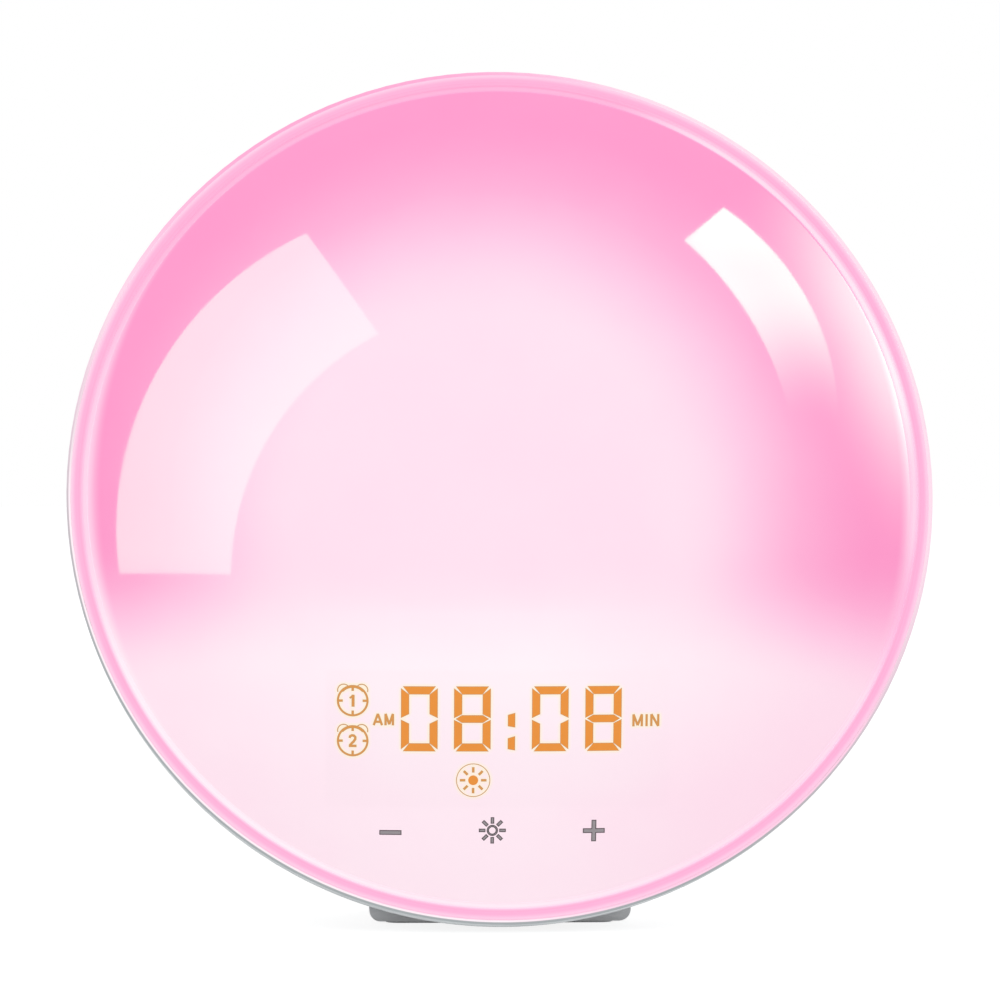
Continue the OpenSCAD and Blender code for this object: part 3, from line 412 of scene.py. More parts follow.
domeLook = {
    "glowShare": 0.75,  # how much of the colour is the lamps' light from inside
    "slideX": (1.0094, 0.0412, 0.0009), "slideY": (0.9932, 0.207, 0.0091),  # place, height and constant
    "pale": 0.8701,
    "depth": 0.2606, "middle": (-0.0371, -0.0192), "edge": (0.4479, 0.9773),
    "cut": (-0.2818, -0.1173), "cutWiden": 0.2368, "tilt": 0.0265,
    "glow": 0.1804, "glowTop": (-0.4639, -0.1452), "glowFall": (-0.7397, 0.5031), "glowLeast": 0.25,
    "glowMiddle": -0.056, "glowWidth": 0.771, "lowPink": 0.0232, "lowFrom": (0.5, 1), "lowAcross": (-0.2, 0.8),
    "rise": 1.013, "riseWidth": (0.041, 0.012), "riseTo": 0.95, "riseShare": (0.65, 0.33), "riseHeight": (0, 0.75),
    # Towards the upper right the groove gets a painted glint.
    "bright": (0.788, 0.616), "glintFrom": (0.8, 0.95), "paintedGlint": 0.42,
    "plain": (0.707, -0.707), "plainFrom": (0.75, 0.97), "bottom": (-1.0, -0.85),
    # The bead is lighter towards its outer edge, a painted highlight on its rounding.
    "bead": 0.698, "beadFrom": (1.014, 1.029), "paintedBeadHighlight": 0.09, "paintedBeadHighlightFrom": (1.034, 1.046),
    "cream": (255, 243, 218), "uneven": 0.004, "unevenSize": 18,
    "roughness": (0.03, 0.055), "smear": 14, "flangeRoughness": 0.4, "flangeFrom": (1.026, 1.032),
    "refraction": 1.5, "grain": 1.2, "grainDepth": 0.0006,
}


def slid(tree, place, height, factors):
    # Place times the first factor, plus height times the second, plus the third.
    scaled, moved = (product(tree, value, factor) for value, factor in zip((place, height), factors))
    return calc(tree, "ADD", calc(tree, "ADD", scaled, moved), factors[2])


def addDomeMaterial(look):
    # The tone is a pale middle, less a pink ring that fades low on the face, plus a white glow there.
    # It hangs over the dome as a flat pattern, so its places slide down the face where the dome stands high.
    material, tree, shader = newMaterial("dome_plastic")
    faceX, faceY, faceZ = bowlPlace(tree)
    radius = length(tree, faceX, faceY)
    x, y = slid(tree, faceX, faceZ, look["slideX"]), slid(tree, faceY, faceZ, look["slideY"])
    tilted = calc(tree, "ADD", y, product(tree, x, look["tilt"]))
    cutLow = calc(tree, "SUBTRACT", look["cut"][0], product(tree, calc(tree, "ABSOLUTE", x), look["cutWiden"]))
    upper = between(tree, tilted, cutLow, look["cut"][1])
    ringRadius = length(tree, *(calc(tree, "SUBTRACT", *pair) for pair in zip((x, y), look["middle"])))
    ring = product(tree, between(tree, ringRadius, *look["edge"], 0, look["depth"]), upper)
    below = between(tree, y, *look["glowTop"], 1, 0)
    fading = addNode(tree, "MapRange", {"Value": y, "From Min": look["glowFall"][0], "From Max": look["glowFall"][1],
                                        "To Min": look["glowLeast"], "To Max": 1}).outputs["Result"]
    # The glow falls off sideways as a bell curve, e to the power of minus sideways squared.
    sideways = calc(tree, "DIVIDE", calc(tree, "SUBTRACT", x, look["glowMiddle"]), look["glowWidth"])
    middle = calc(tree, "EXPONENT", product(tree, sideways, sideways, -1))
    glow = product(tree, product(tree, below, fading), product(tree, middle, look["glow"]))
    low = product(tree, between(tree, radius, *look["lowFrom"], 0, look["lowPink"]),
                  product(tree, calc(tree, "SUBTRACT", 1, upper), between(tree, x, *look["lowAcross"])))
    tone = calc(tree, "ADD", calc(tree, "SUBTRACT", look["pale"], ring), glow)
    tone = calc(tree, "SUBTRACT", tone, low)
    # Towards the groove the tone rises, over a wider band at the sides than at the top; most to the upper right,
    # where a painted glint adds to it, hardly at the bottom and to the lower right. The bead outside it is pink.
    across, up = calc(tree, "DIVIDE", faceX, radius), calc(tree, "DIVIDE", faceY, radius)
    upperRight, lowerRight = (towards(tree, across, up, look[side]) for side in ("bright", "plain"))
    width = between(tree, calc(tree, "ABSOLUTE", faceY), *look["riseHeight"], *look["riseWidth"])
    start = calc(tree, "SUBTRACT", look["rise"], width)
    most = calc(tree, "ADD", between(tree, faceY, *look["riseHeight"], *look["riseShare"]),
                between(tree, upperRight, *look["glintFrom"], 0, look["paintedGlint"]))
    most = product(tree, most, product(tree, between(tree, lowerRight, *look["plainFrom"], 1, 0),
                                       between(tree, up, *look["bottom"])))
    rise = product(tree, between(tree, radius, start, look["rise"]), most)
    tone = blendTone(tree, rise, tone, look["riseTo"])
    # The bead's outer edge gets a painted highlight.
    bead = calc(tree, "ADD", look["bead"], between(tree, radius, *look["paintedBeadHighlightFrom"], 0, look["paintedBeadHighlight"]))
    tone = blendTone(tree, between(tree, radius, *look["beadFrom"]), tone, bead)
    tone = calc(tree, "ADD", tone, noiseOver(tree, -look["uneven"], look["uneven"], look["unevenSize"], "broad"))
    halo = addNode(tree, "Attribute", {}, attribute_name="halo").outputs["Fac"]
    shown = blendColour(tree, halo, toneRamp(tree, tone), lampColour(*look["cream"]))
    own = 1 - look["glowShare"]
    feed(tree, shader.inputs["Base Color"], blendColour(tree, 1.0, shown, (own, own, own), "MULTIPLY"))
    feed(tree, shader.inputs["Emission Color"], shown)
    feed(tree, shader.inputs["Emission Strength"], look["glowShare"])
    smeared = noiseOver(tree, *look["roughness"], look["smear"], "fine")
    feed(tree, shader.inputs["Roughness"],
         blendTone(tree, between(tree, radius, *look["flangeFrom"]), smeared, look["flangeRoughness"]))
    feed(tree, shader.inputs["IOR"], look["refraction"])
    feed(tree, shader.inputs["Normal"], bump(tree, noise(tree, look["grain"]), look["grainDepth"]))
    return material


def domeProfile(shape):
    # Outside arc from the pole, groove, flange, skirt with its bead, and the inside arc back to the axis.
    steps = shape["arcSteps"]
    outer = np.linspace(0, math.asin(shape["radius"] / sphereRadius), steps)
    outside = np.stack([sphereRadius * np.sin(outer), sphereMiddle + sphereRadius * np.cos(outer)], -1)
    grooveOut = shape["radius"] + shape["grooveWidth"]
    flangeOut = grooveOut + shape["flangeWidth"]
    grooveLow = shape["flangeProud"] - shape["grooveDepth"]
    skirtIn = shape["skirtRadius"] - shape["skirtWall"]
    beadOut = shape["skirtRadius"] + shape["bead"]
    beadTop = shape["beadHeight"] - shape["skirtDepth"]
    innerRadius = sphereRadius - shape["wall"]
    corners = np.array([
        outside[-2], outside[-1], (shape["radius"], grooveLow), (grooveOut, grooveLow),
        (grooveOut, shape["flangeProud"]), (flangeOut, shape["flangeProud"]), (flangeOut, flangeBack),
        (shape["skirtRadius"], flangeBack), (shape["skirtRadius"], beadTop), (beadOut, beadTop),
        (beadOut, -shape["skirtDepth"]), (skirtIn, -shape["skirtDepth"]),
        (skirtIn, sphereMiddle + math.sqrt(innerRadius ** 2 - skirtIn ** 2)),
        (skirtIn - shape["wall"], sphereMiddle + math.sqrt(innerRadius ** 2 - (skirtIn - shape["wall"]) ** 2)),
    ])
    edge = roundCorners(corners, shape["edgeRound"])
    inner = np.linspace(math.asin((skirtIn - shape["wall"]) / innerRadius), 0, steps // 2)[1:]
    inside = np.stack([innerRadius * np.sin(inner), sphereMiddle + innerRadius * np.cos(inner)], -1)
    return np.concatenate([outside[:-2], edge, inside])


domeMaterial = addDomeMaterial(domeLook)
profile = domeProfile(domeShape)
domePoints, domeFaces = revolve(profile[::-1], domeShape["turns"])
dome = makePiece("lit_dome", fromBowl(domePoints), domeFaces, domeMaterial, "dome_plastic")
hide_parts("front_diffuser")
print("clock: dome done")


inlay = {"orange": (238, 151, 69), "signOrange": (224, 156, 88), "orangeEdge": (206, 155, 104), "inset": 0.11,
         "grey": (147, 142, 145), "greyEdge": (72, 60, 66),
         "top": 0.05 * mm, "lowerTop": 0.03 * mm, "haloTop": 0.02 * mm, "bottom": -0.3 * mm, "stagger": 0.002 * mm,
         "levels": 4}

# Places and sizes on the face in mm, across and up.
digits = {"middleZ": 42.95, "height": 12.75, "width": 7.13, "stroke": 1.6, "mitre": 0.36, "tip": 0.15,
          "shoulder": 0.93, "middleShare": 0.475, "middleIn": 0.1, "middleTip": 0.02,
          "middles": (-16.84, -6.57, 8.55, 18.94), "shows": "0808"}


def ruled(left, right, steps=8):
    # Two edges of two or more points, sampled evenly by each edge's own parameter.
    share = np.linspace(0, 1, steps)
    rails = []
    for rail in (np.array(left, float), np.array(right, float)):
        at = np.linspace(0, 1, len(rail))
        rails.append(np.stack([np.interp(share, at, rail[:, 0]), np.interp(share, at, rail[:, 1])], -1))
    return rails[0], rails[1], False


def stroke(points, width, closed=False):
    # A line of constant width: each point moves half a width to both sides along the line's normal.
    line = np.array(points, float)
    if closed:
        ahead = np.roll(line, -1, 0) - np.roll(line, 1, 0)
    else:
        ahead = np.gradient(line, axis=0)
    ahead /= np.linalg.norm(ahead, axis=1)[:, None]
    side = np.stack([-ahead[:, 1], ahead[:, 0]], -1) * width / 2
    return line + side, line - side, closed


def bar(x0, z0, x1, z1, width, steps=4):
    share = np.linspace(0, 1, steps)[:, None]
    return stroke(np.array([[x0, z0]]) * (1 - share) + np.array([[x1, z1]]) * share, width)


def arc(x, z, radius, start, end, width, steps=24):
    angle = np.radians(np.linspace(start, end, steps))
    return stroke(np.stack([x + radius * np.cos(angle), z + radius * np.sin(angle)], -1), width)


def ring(x, z, radius, width, steps=56):
    angle = np.linspace(0, 2 * math.pi, steps, endpoint=False)
    return stroke(np.stack([x + radius * np.cos(angle), z + radius * np.sin(angle)], -1), width, True)


def disc(x, z, radius, steps=24, ends=(176, 4)):
    # Upper and lower half circles as the two edges, which stop just short of each other.
    angle = np.radians(np.linspace(*ends, steps))
    across, up = radius * np.cos(angle), radius * np.sin(angle)
    return np.stack([x + across, z + up], -1), np.stack([x + across, z - up], -1), False


def widened(strip, grow):
    # The strip's edges move apart and its open ends move out by the same distance.
    left, right, closed = strip
    across = left - right
    width = np.linalg.norm(across, axis=1)[:, None]
    apart = across / np.maximum(width, tiny) * grow
    left, right = left + apart, right - apart
    if not closed:
        for end, inner in ((0, 1), (-1, -2)):
            out = (left[end] + right[end] - left[inner] - right[inner]) / 2
            out = out / np.linalg.norm(out) * grow
            left[end] += out
            right[end] += out
    return left, right, closed


def inlayPiece(name, strips, top, material, slot):
    # Each strip is a tube of four-cornered section that follows the dome, from just over it to inside it. Tops that
    # may cross differ a little in height.
    points, faces, count = [], [], 0
    for number, (left, right, closed) in enumerate(strips):
        stations = len(left)
        high = top + number % inlay["levels"] * inlay["stagger"]
        rails = [onDome(edge[:, 0] * mm, edge[:, 1] * mm, lift)
                 for edge, lift in ((left, high), (right, high), (right, inlay["bottom"]), (left, inlay["bottom"]))]
        points.append(np.stack(rails, 1).reshape(-1, 3))
        here = np.arange(stations if closed else stations - 1)[:, None] * 4
        ahead = (here + 4) % (stations * 4)
        corner = np.arange(4)
        nextCorner = (corner + 1) % 4
        sides = np.stack([here + corner, here + nextCorner, ahead + nextCorner, ahead + corner], -1).reshape(-1, 4)
        faces.extend((sides + count).tolist())
        if not closed:
            faces.append([count, count + 3, count + 2, count + 1])
            faces.append([count + 4 * stations - 4 + k for k in range(4)])
        count += 4 * stations
    return makePiece(name, np.concatenate(points), faces, material, slot, outward=True)


litLook = {"share": 0.7, "dim": 0.93, "dimSize": 1.6, "roughness": (0.06, 0.12), "smear": 5,
           "grain": 0.6, "depth": 0.0008}


def litMaterial(name, colour, look=litLook):
    # A lit shape under the dome's skin: mostly its own light, with a little unevenness.
    material, tree, shader = newMaterial(name)
    bright = lampColour(*colour)
    dim = tuple(channel * look["dim"] for channel in bright)
    shown = blendColour(tree, noise(tree, look["dimSize"]), dim, bright)
    feed(tree, shader.inputs["Base Color"], blendColour(tree, 1.0, shown, (1 - look["share"],) * 3, "MULTIPLY"))
    feed(tree, shader.inputs["Emission Color"], shown)
    feed(tree, shader.inputs["Emission Strength"], look["share"])
    feed(tree, shader.inputs["Roughness"], noiseOver(tree, *look["roughness"], look["smear"], "broad"))
    feed(tree, shader.inputs["Normal"], bump(tree, noise(tree, look["grain"]), look["depth"]))
    return material


def digitStrips(look):
    # Seven mitred segments; only an eight lights the middle one.
    half, tall, thick = look["width"] / 2, look["height"] / 2, look["stroke"]
    cut, tip, shoulder = look["mitre"], look["tip"], look["shoulder"]
    across = np.array([[(cut - half, tall), (half - cut, tall)],
                       [(thick - half, tall - thick), (half - thick, tall - thick)]])
    upright = np.array([[(half, tall - cut), (half, tip)], [(half - thick, tall - thick), (half - thick, shoulder)]])
    # Outer and inner edges of the six round the figure, mirrored from the top and the upper right one.
    segments = [across, across * (1, -1), *(upright * (x, z) for z in (1, -1) for x in (-1, 1))]
    side, bars = half - thick + look["middleIn"], thick * look["middleShare"]
    upper = np.array([(cut - half, look["middleTip"]), (-side, bars), (side, bars), (half - cut, look["middleTip"])])
    strips = []
    for x, figure in zip(look["middles"], look["shows"]):
        offset = np.array([x, look["middleZ"]])
        strips.extend(ruled(*(segment + offset)) for segment in segments)
        if figure == "8":
            strips.append(ruled(upper + offset, upper * (1, -1) + offset, steps=10))
    return strips


colon = {"left": 0.30, "right": 1.75,
         "upper": ((0.81, -1.43), (1.23, -1.68)), "lower": ((-3.78, -5.93), (-3.34, -6.18))}


def colonStrips(look):
    strips = []
    for (leftTop, leftLow), (rightTop, rightLow) in (look["upper"], look["lower"]):
        z = digits["middleZ"]
        strips.append(ruled(((look["left"], z + leftTop), (look["right"], z + rightTop)),
                            ((look["left"], z + leftLow), (look["right"], z + rightLow)), steps=4))
    return strips


# Letters as strokes in a box one wide and one high.
letters = {
    "A": [((0, 0), (0.5, 1)), ((0.5, 1), (1, 0)), ((0.2, 0.3), (0.8, 0.3))],
    "M": [((0, 0), (0, 1)), ((0, 1), (0.5, 0.08)), ((0.5, 0.08), (1, 1)), ((1, 1), (1, 0))],
    "I": [((0, 0), (0, 1))],
    "N": [((0, 0), (0, 1)), ((0, 1), (1, 0)), ((1, 0), (1, 1))],
}

words = {"stroke": 0.46,
         "AM": {"x": -25.67, "z": 41.65, "height": 2.26, "widths": (1.62, 1.42), "gap": 0.68},
         "MIN": {"x": 24.85, "z": 41.32, "height": 2.37, "widths": (1.65, 0.0, 1.36), "gap": 0.94}}


def wordStrips(word):
    place, pen = words[word], words[word]["x"]
    strips = []
    for letter, width in zip(word, place["widths"]):
        for line in letters[letter]:
            start, end = ((pen + x * width, place["z"] + z * place["height"]) for x, z in line)
            strips.append(bar(*start, *end, words["stroke"]))
        pen += width + place["gap"]
    return strips


alarms = {"x": -29.74, "z": {"1": 46.42, "2": 38.55}, "radius": 2.87, "line": 0.42, "tick": 0.48, "tickLength": 0.95,
          "brow": 0.56, "browIn": 0.08, "browFrom": (42, 138),
          "bellX": 1.75, "bellZ": 2.05, "bell": 1.17, "bellFrom": (107, 53), "bellLine": 0.2}

# The figures in the alarm clocks as lines of points, each with its width.
figures = {
    "1": [([(0.07, -1.18), (0.07, 1.18)], 0.59), ([(-0.58, 0.5), (0.05, 0.98)], 0.375)],
    "2": [([(-0.58, 0.55), (-0.5, 0.9), (-0.15, 1.08), (0.25, 1.02), (0.52, 0.72), (0.5, 0.35),
            (0.22, -0.1), (-0.2, -0.5), (-0.55, -0.95)], 0.5), ([(-0.75, -1.0), (0.75, -1.0)], 0.5)],
}


def rayStrips(x, z, inner, outer, width, count=8):
    angles = np.arange(count) * 2 * math.pi / count
    return [bar(x + inner * c, z + inner * s, x + outer * c, z + outer * s, width)
            for c, s in zip(np.cos(angles), np.sin(angles))]


def alarmStrips(figure, look):
    # A clock's ring, which is thicker at the top, with four ticks and a figure in it.
    x, z, radius = look["x"], look["z"][figure], look["radius"]
    strips = [ring(x, z, radius, look["line"]), arc(x, z, radius - look["browIn"], *look["browFrom"], look["brow"]),
              *rayStrips(x, z, radius - look["tickLength"], radius, look["tick"], count=4)]
    for line, width in figures[figure]:
        line = np.array(line) + (x, z)
        strips.append(bar(*line[0], *line[1], width) if len(line) == 2 else stroke(line, width))
    return strips


def bellStrips(look):
    start, end = look["bellFrom"]
    return [arc(look["x"] + side * look["bellX"], z + look["bellZ"], look["bell"], 90 - side * start,
                90 + side * end, look["bellLine"]) for z in look["z"].values() for side in (-1, 1)]


sun = {"x": -6.34, "z": 30.9, "ring": 3.24, "ringLine": 0.16, "dot": 0.97, "rays": (1.52, 2.59), "rayWidth": 0.5}
touch = {"minus": (-22.35, 20.4), "light": (-2.51, 20.91), "plus": (17.37, 20.73), "arm": 1.98, "thick": 0.6,
         "edge": 0.18, "ring": 0.88, "ringWidth": 0.1, "rays": (1.52, 2.46), "rayWidth": 0.34}


def touchStrips(look):
    (minusX, minusZ), (lightX, lightZ), (plusX, plusZ) = look["minus"], look["light"], look["plus"]
    arm, thick = look["arm"], look["thick"]
    return [bar(minusX - arm, minusZ, minusX + arm, minusZ, thick),
            bar(plusX - arm, plusZ, plusX + arm, plusZ, thick), bar(plusX, plusZ - arm, plusX, plusZ + arm, thick),
            ring(lightX, lightZ, look["ring"], look["ringWidth"]),
            *rayStrips(lightX, lightZ, *look["rays"], look["rayWidth"])]


halo = {"corners": (-35.0, 25.5, 32.0, 52.5), "step": 0.25, "raster": 0.1, "reach": 0.42, "gain": 2.3, "most": 0.9,
        "across": 24, "along": 12, "bellCells": 24}


def haloField(strips, look):
    # Lit shapes are marked on a fine raster, which is blurred by a bell curve along both axes:
    # e to the power of minus (offset / reach) squared, scaled to a sum of one.
    x0, z0, x1, z1 = look["corners"]
    cell = look["raster"]
    field = np.zeros((round((z1 - z0) / cell) + 1, round((x1 - x0) / cell) + 1))
    share = np.linspace(0, 1, look["across"])[:, None]
    for left, right, closed in strips:
        if closed:
            left, right = (np.concatenate([edge, edge[:1]]) for edge in (left, right))
        dense = np.linspace(0, len(left) - 1, (len(left) - 1) * look["along"] + 1)
        rails = [np.stack([np.interp(dense, np.arange(len(edge)), edge[:, axis]) for axis in (0, 1)], -1)
                 for edge in (left, right)]
        spots = rails[0][None] * (1 - share[..., None]) + rails[1][None] * share[..., None]
        column = np.rint((spots[..., 0] - x0) / cell).astype(int)
        row = np.rint((spots[..., 1] - z0) / cell).astype(int)
        field[row, column] = 1
    offsets = np.arange(-look["bellCells"], look["bellCells"] + 1) * cell
    bell = np.exp(-(offsets / look["reach"]) ** 2)
    bell /= bell.sum()
    spread = np.apply_along_axis(np.convolve, 0, field, bell, "same")
    return np.apply_along_axis(np.convolve, 1, spread, bell, "same")


def addHalo(strips, material, look):
    # A thin patch that follows the dome, with the glow round the lit shapes as an attribute.
    x0, z0, x1, z1 = look["corners"]
    columns, rows = (round((high - low) / look["step"]) + 1 for low, high in ((x0, x1), (z0, z1)))
    x, z = np.meshgrid(np.linspace(x0, x1, columns), np.linspace(z0, z1, rows))
    field = haloField(strips, look)
    level = field[np.minimum(np.rint((z - z0) / look["raster"]).astype(int), field.shape[0] - 1),
                  np.minimum(np.rint((x - x0) / look["raster"]).astype(int), field.shape[1] - 1)]
    top, bottom = (onDome(x * mm, z * mm, lift) for lift in (inlay["haloTop"], inlay["bottom"]))
    points = np.concatenate([top.reshape(-1, 3), bottom.reshape(-1, 3)])
    index = np.arange(rows * columns).reshape(rows, columns)
    sheet = np.stack([index[:-1, :-1], index[:-1, 1:], index[1:, 1:], index[1:, :-1]], -1).reshape(-1, 4)
    rim = np.concatenate([index[0, :-1], index[:-1, -1], index[-1, :0:-1], index[:0:-1, 0]])
    ahead = np.roll(rim, -1)
    half = rows * columns
    walls = np.stack([rim, rim + half, ahead + half, ahead], -1)
    faces = np.concatenate([sheet, sheet[:, ::-1] + half, walls])
    patch = makePiece("display_glow", points, faces.tolist(), material, "dome_plastic")
    attribute = patch.data.attributes.new("halo", "FLOAT", "POINT")
    glow = np.minimum(level * look["gain"], look["most"]).reshape(-1)
    attribute.data.foreach_set("value", np.concatenate([glow, glow]).astype(np.float32))


orange = litMaterial("display_orange", inlay["orange"])
digitShapes = digitStrips(digits) + colonStrips(colon)
signShapes = [*wordStrips("AM"), *wordStrips("MIN"), *alarmStrips("1", alarms), *alarmStrips("2", alarms),
              *rayStrips(sun["x"], sun["z"], *sun["rays"], sun["rayWidth"])]
thinShapes = [ring(sun["x"], sun["z"], sun["ring"], sun["ringLine"]), *bellStrips(alarms)]
sunDot = disc(sun["x"], sun["z"], sun["dot"])
addHalo(digitShapes + signShapes + thinShapes + [sunDot], domeMaterial, halo)
inlayPiece("display_edges", digitShapes + signShapes + thinShapes, inlay["lowerTop"],
           litMaterial("display_edge", inlay["orangeEdge"]), "led_orange")
inlayPiece("display_digits", [widened(strip, -inlay["inset"]) for strip in digitShapes] + [sunDot], inlay["top"],
           orange, "led_orange")
inlayPiece("display_signs", [widened(strip, -inlay["inset"]) for strip in signShapes], inlay["top"],
           litMaterial("display_sign", inlay["signOrange"]), "led_orange")

printLook = {"roughness": 0.45, "grain": 0.4, "depth": 0.004}
touchGrey, touchEdge = (addFinish(name, {"colour": inlay[colour], **printLook})[0]
                        for name, colour in (("touch_print", "grey"), ("touch_edge", "greyEdge")))
touchShapes = touchStrips(touch)
inlayPiece("touch_edges", [widened(strip, touch["edge"]) for strip in touchShapes], inlay["lowerTop"], touchEdge,
           "film")
inlayPiece("touch_signs", touchShapes, inlay["top"], touchGrey, "film")
print("clock: display and touch signs done")


view = {"aim": (-0.2 * mm, -21.6 * mm, 85.07 * mm), "distance": 1.0, "azimuth": -2.126, "elevation": 0.714,
        "pixelsPerMetre": 5019.5, "sensor": 36.0, "imageWidth": 1000, "clip": (0.01, 50)}


def addCamera(look):
    azimuth, elevation = math.radians(look["azimuth"]), math.radians(look["elevation"])
    back = np.array([math.sin(azimuth) * math.cos(elevation), -math.cos(azimuth) * math.cos(elevation),
                     math.sin(elevation)])
    data = bpy.data.cameras.new("camera")
    data.sensor_width = look["sensor"]
    data.lens = look["sensor"] * look["pixelsPerMetre"] * look["distance"] / look["imageWidth"]
    data.clip_start, data.clip_end = look["clip"]
    camera = bpy.data.objects.new("camera", data)
    bpy.context.scene.collection.objects.link(camera)
    place = np.array(look["aim"]) + back * look["distance"]
    forward = -back
    right = np.cross(forward, (0, 0, 1))
    right /= np.linalg.norm(right)
    up = np.cross(right, forward)
    turn = np.stack([right, up, back], 1)
    camera.matrix_world = Matrix([[*row, at] for row, at in zip(turn, place)] + [[0, 0, 0, 1]])
    bpy.context.scene.camera = camera
    return place


cameraPlace = addCamera(view)


studio = {"floor": 12.0, "floorColour": 0.6, "seenColour": 0.3, "floorLift": (0.86, 0.88), "liftFrom": (0.25, 0.8),
          "world": 0.62}
lamps = [
    {"name": "key", "place": (-0.5, -1.3, 1.0), "size": 0.9, "power": 6.0},
    {"name": "fill", "place": (1.1, -0.9, 0.7), "size": 1.1, "power": 3.0},
    {"name": "low_front", "place": (0, -1.1, 0.12), "size": 0.7, "power": 5.4},
    {"name": "behind", "place": (0.4, 1.5, 0.8), "size": 1.2, "power": 6.0},
]

# Arcs on the face in mm: centre x, y and radius, and where each edge starts and ends. Over the dome's own tone a box
# lifts what is seen towards its level by its share. It fades in and out along the arcs, which run from 0 to 1, grows
# softly from the inner to the outer arc, and loses a share towards the outer one.
lightBoxes = [
    {"name": "left_light_box", "level": 0.93, "share": 0.6, "colour": (1, 1, 0.56), "distance": 1.1,
     "outer": (-13.23, -7.84, 63.04), "outerEnds": ((-38.67, 49.72), (-75.59, -17.2)),
     "inner": (-1.08, -19.6, 52.35), "innerEnds": ((-24.96, 27.82), (-52.72, -19.24))},
    {"name": "right_light_box", "level": 1.01, "share": 1.0, "colour": (1, 1, 0.57), "distance": 1.1,
     "fadeOut": (0.33, 0.94), "outerLess": 0.28, "lessFrom": (0, 0.35),
     "outer": (15.86, 14.64, 50.79), "outerEnds": ((44.51, 56.04), (66.2, 7.92)),
     "inner": (-9.18, -1.29, 67.19), "innerEnds": ((36.12, 47.96), (57.21, 9.04))},
    {"name": "rim_light_box", "level": 0.78, "share": 1.0, "colour": (1, 1, 0.6), "distance": 1.3,
     "fadeIn": (0.2, 0.52), "fadeOut": (0.6, 0.98), "soft": (0, 1.08),
     "outer": (0, 0, 84), "outerEnds": ((30.9, 78.1), (82.16, -17.46)),
     "inner": (-376.91, -198.72, 486.15), "innerEnds": ((30, 67.3), (74, -17))},
]
# What a box has where it says nothing else, and its number of points along and across.
plainBox = {"fadeIn": (-1, 0), "fadeOut": (1, 2), "soft": (-1, 0), "outerLess": 0, "lessFrom": (-1, 0),
            "along": 60, "across": 14}
glossReflects = 0.045  # the share of light that the dome's gloss sends back when seen face on


def arcBetween(circle, ends, count):
    x, y, radius = circle
    first, last = (math.atan2(end[1] - y, end[0] - x) for end in ends)
    if last - first > math.pi:
        last -= 2 * math.pi
    if first - last > math.pi:
        last += 2 * math.pi
    angle = np.linspace(first, last, count)
    return np.stack([x + radius * np.cos(angle), y + radius * np.sin(angle)], -1)


def smoothStep(value, low, high):
    share = np.clip((value - low) / (high - low), 0, 1)
    return share * share * (3 - 2 * share)


def ownTone(spot):
    # The dome's tone at a place in the tone's reach: the pale middle less the pink ring.
    x, y = (spot[..., axis] * factors[0] + spot[..., 2] * factors[1] + factors[2]
            for axis, factors in enumerate((domeLook["slideX"], domeLook["slideY"])))
    ringDepth = domeLook["depth"] * smoothStep(np.hypot(x, y), *domeLook["edge"])
    return domeLook["pale"] - ringDepth * smoothStep(y, *domeLook["cut"])


def addLightBox(look):
    # Points of the seen shape on the dome; the camera's line to each is mirrored about the sphere's
    # normal, d - 2 (d n) n, and followed to the box's distance.
    along, across = look["along"], look["across"]
    outer = arcBetween(look["outer"], look["outerEnds"], along)
    inner = arcBetween(look["inner"], look["innerEnds"], along)
    outward = np.linspace(0, 1, across)[:, None]
    flat = (inner * (1 - outward[..., None]) + outer * outward[..., None]) * mm
    height = sphereMiddle + np.sqrt(sphereRadius ** 2 - (flat ** 2).sum(-1))
    seen = np.concatenate([flat, height[..., None]], -1)
    points = fromBowl(seen)
    normal = (points - sphereCentre) / sphereRadius
    ray = points - cameraPlace
    ray /= np.linalg.norm(ray, axis=-1)[..., None]
    mirrored = ray - 2 * (ray * normal).sum(-1)[..., None] * normal
    cards = points + mirrored * look["distance"]
    # What is missing from the dome's own light to the level, and how much of it the box gives.
    missing = np.maximum(look["level"] - toLight(ownTone(seen / toneReach)), 0) * look["share"]
    run = np.linspace(0, 1, along)[None]
    missing = missing * (1 - smoothStep(run, *look["fadeOut"])) * smoothStep(run, *look["fadeIn"])
    less = look["outerLess"] * outward * smoothStep(run, *look["lessFrom"])
    missing = missing * smoothStep(outward, *look["soft"]) * (1 - less) / glossReflects
    index = np.arange(across * along).reshape(across, along)
    faces = np.stack([index[:-1, :-1], index[1:, :-1], index[1:, 1:], index[:-1, 1:]], -1).reshape(-1, 4)
    material, tree, shader = newMaterial(look["name"])
    tree.nodes.remove(shader)
    bright = addNode(tree, "Attribute", {}, attribute_name="bright").outputs["Fac"]
    glow = addNode(tree, "Emission", {"Color": look["colour"], "Strength": bright})
    through = addNode(tree, "BsdfTransparent", {})
    both = addNode(tree, "AddShader", {0: glow.outputs[0], 1: through.outputs[0]})
    feed(tree, tree.nodes["Material Output"].inputs["Surface"], both.outputs[0])
    box = makePiece(look["name"], cards, faces.tolist(), material)
    attribute = box.data.attributes.new("bright", "FLOAT", "POINT")
    attribute.data.foreach_set("value", missing.astype(np.float32).reshape(-1))
    for kind in ("camera", "diffuse", "transmission", "shadow", "volume_scatter"):
        setattr(box, "visible_" + kind, False)
    box.light_linking.receiver_collection = shinyPieces


shinyPieces = bpy.data.collections.new("shiny_pieces")
shinyPieces.objects.link(dome)
for lightBox in lightBoxes:
    addLightBox({**plainBox, **lightBox})


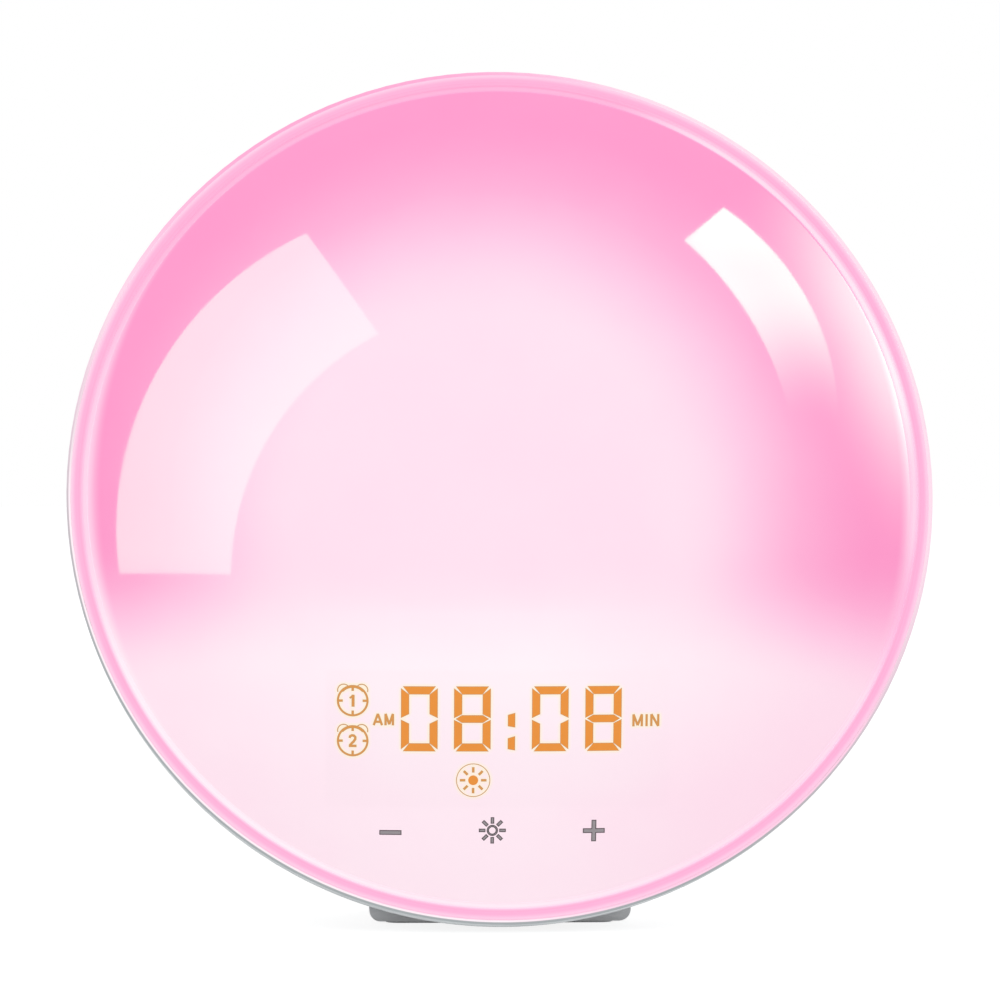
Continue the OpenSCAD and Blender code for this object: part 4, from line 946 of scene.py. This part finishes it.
def seenDirectly(tree):
    # One for the camera's, mirrored and clear-material rays, and zero for light that lands on the object.
    path = addNode(tree, "LightPath", {}).outputs
    bent = calc(tree, "MAXIMUM", path["Is Glossy Ray"], path["Is Transmission Ray"])
    return calc(tree, "MAXIMUM", path["Is Camera Ray"], bent)


def addFloor(look):
    # Near the object the floor takes its shadow; further out it turns to plain white for the camera.
    half = look["floor"] / 2
    corners = np.array([[-half, -half, 0], [half, -half, 0], [half, half, 0], [-half, half, 0]], float)
    material, tree, shader = newMaterial("floor")
    away = addNode(tree, "VectorMath", {0: objectPlace(tree)}, operation="LENGTH").outputs["Value"]
    seen = seenDirectly(tree)
    grey = blendTone(tree, seen, look["floorColour"], look["seenColour"])
    feed(tree, shader.inputs["Base Color"], blendColour(tree, grey, (0, 0, 0), (1, 1, 1)))
    feed(tree, shader.inputs["Roughness"], 1.0)
    feed(tree, shader.inputs["Specular IOR Level"], 0.0)
    feed(tree, shader.inputs["Emission Color"], (1, 1, 1))
    lift = between(tree, away, *look["liftFrom"], *look["floorLift"])
    feed(tree, shader.inputs["Emission Strength"], product(tree, seen, lift))
    makePiece("floor", corners, [[0, 1, 2, 3]], material)


def addWorld(look):
    world = bpy.data.worlds.new("studio")
    world.use_nodes = True
    bpy.context.scene.world = world
    tree = world.node_tree
    back = tree.nodes["Background"]
    feed(tree, back.inputs["Color"], (1, 1, 1))
    strength = between(tree, seenDirectly(tree), 0, 1, look["world"], 1)
    feed(tree, back.inputs["Strength"], strength)


def addLamp(look):
    data = bpy.data.lights.new(look["name"], "AREA")
    data.energy, data.size = look["power"], look["size"]
    lamp = bpy.data.objects.new(look["name"], data)
    bpy.context.scene.collection.objects.link(lamp)
    lamp.location = look["place"]
    aim = Vector((0, hubY, hubZ)) - Vector(look["place"])
    lamp.rotation_mode = "QUATERNION"
    lamp.rotation_quaternion = aim.to_track_quat("-Z", "Y")
    lamp.visible_glossy = False


addFloor(studio)
addWorld(studio)
for lampLook in lamps:
    addLamp(lampLook)
bpy.context.scene.view_settings.view_transform = "Standard"
print("clock: stage done")
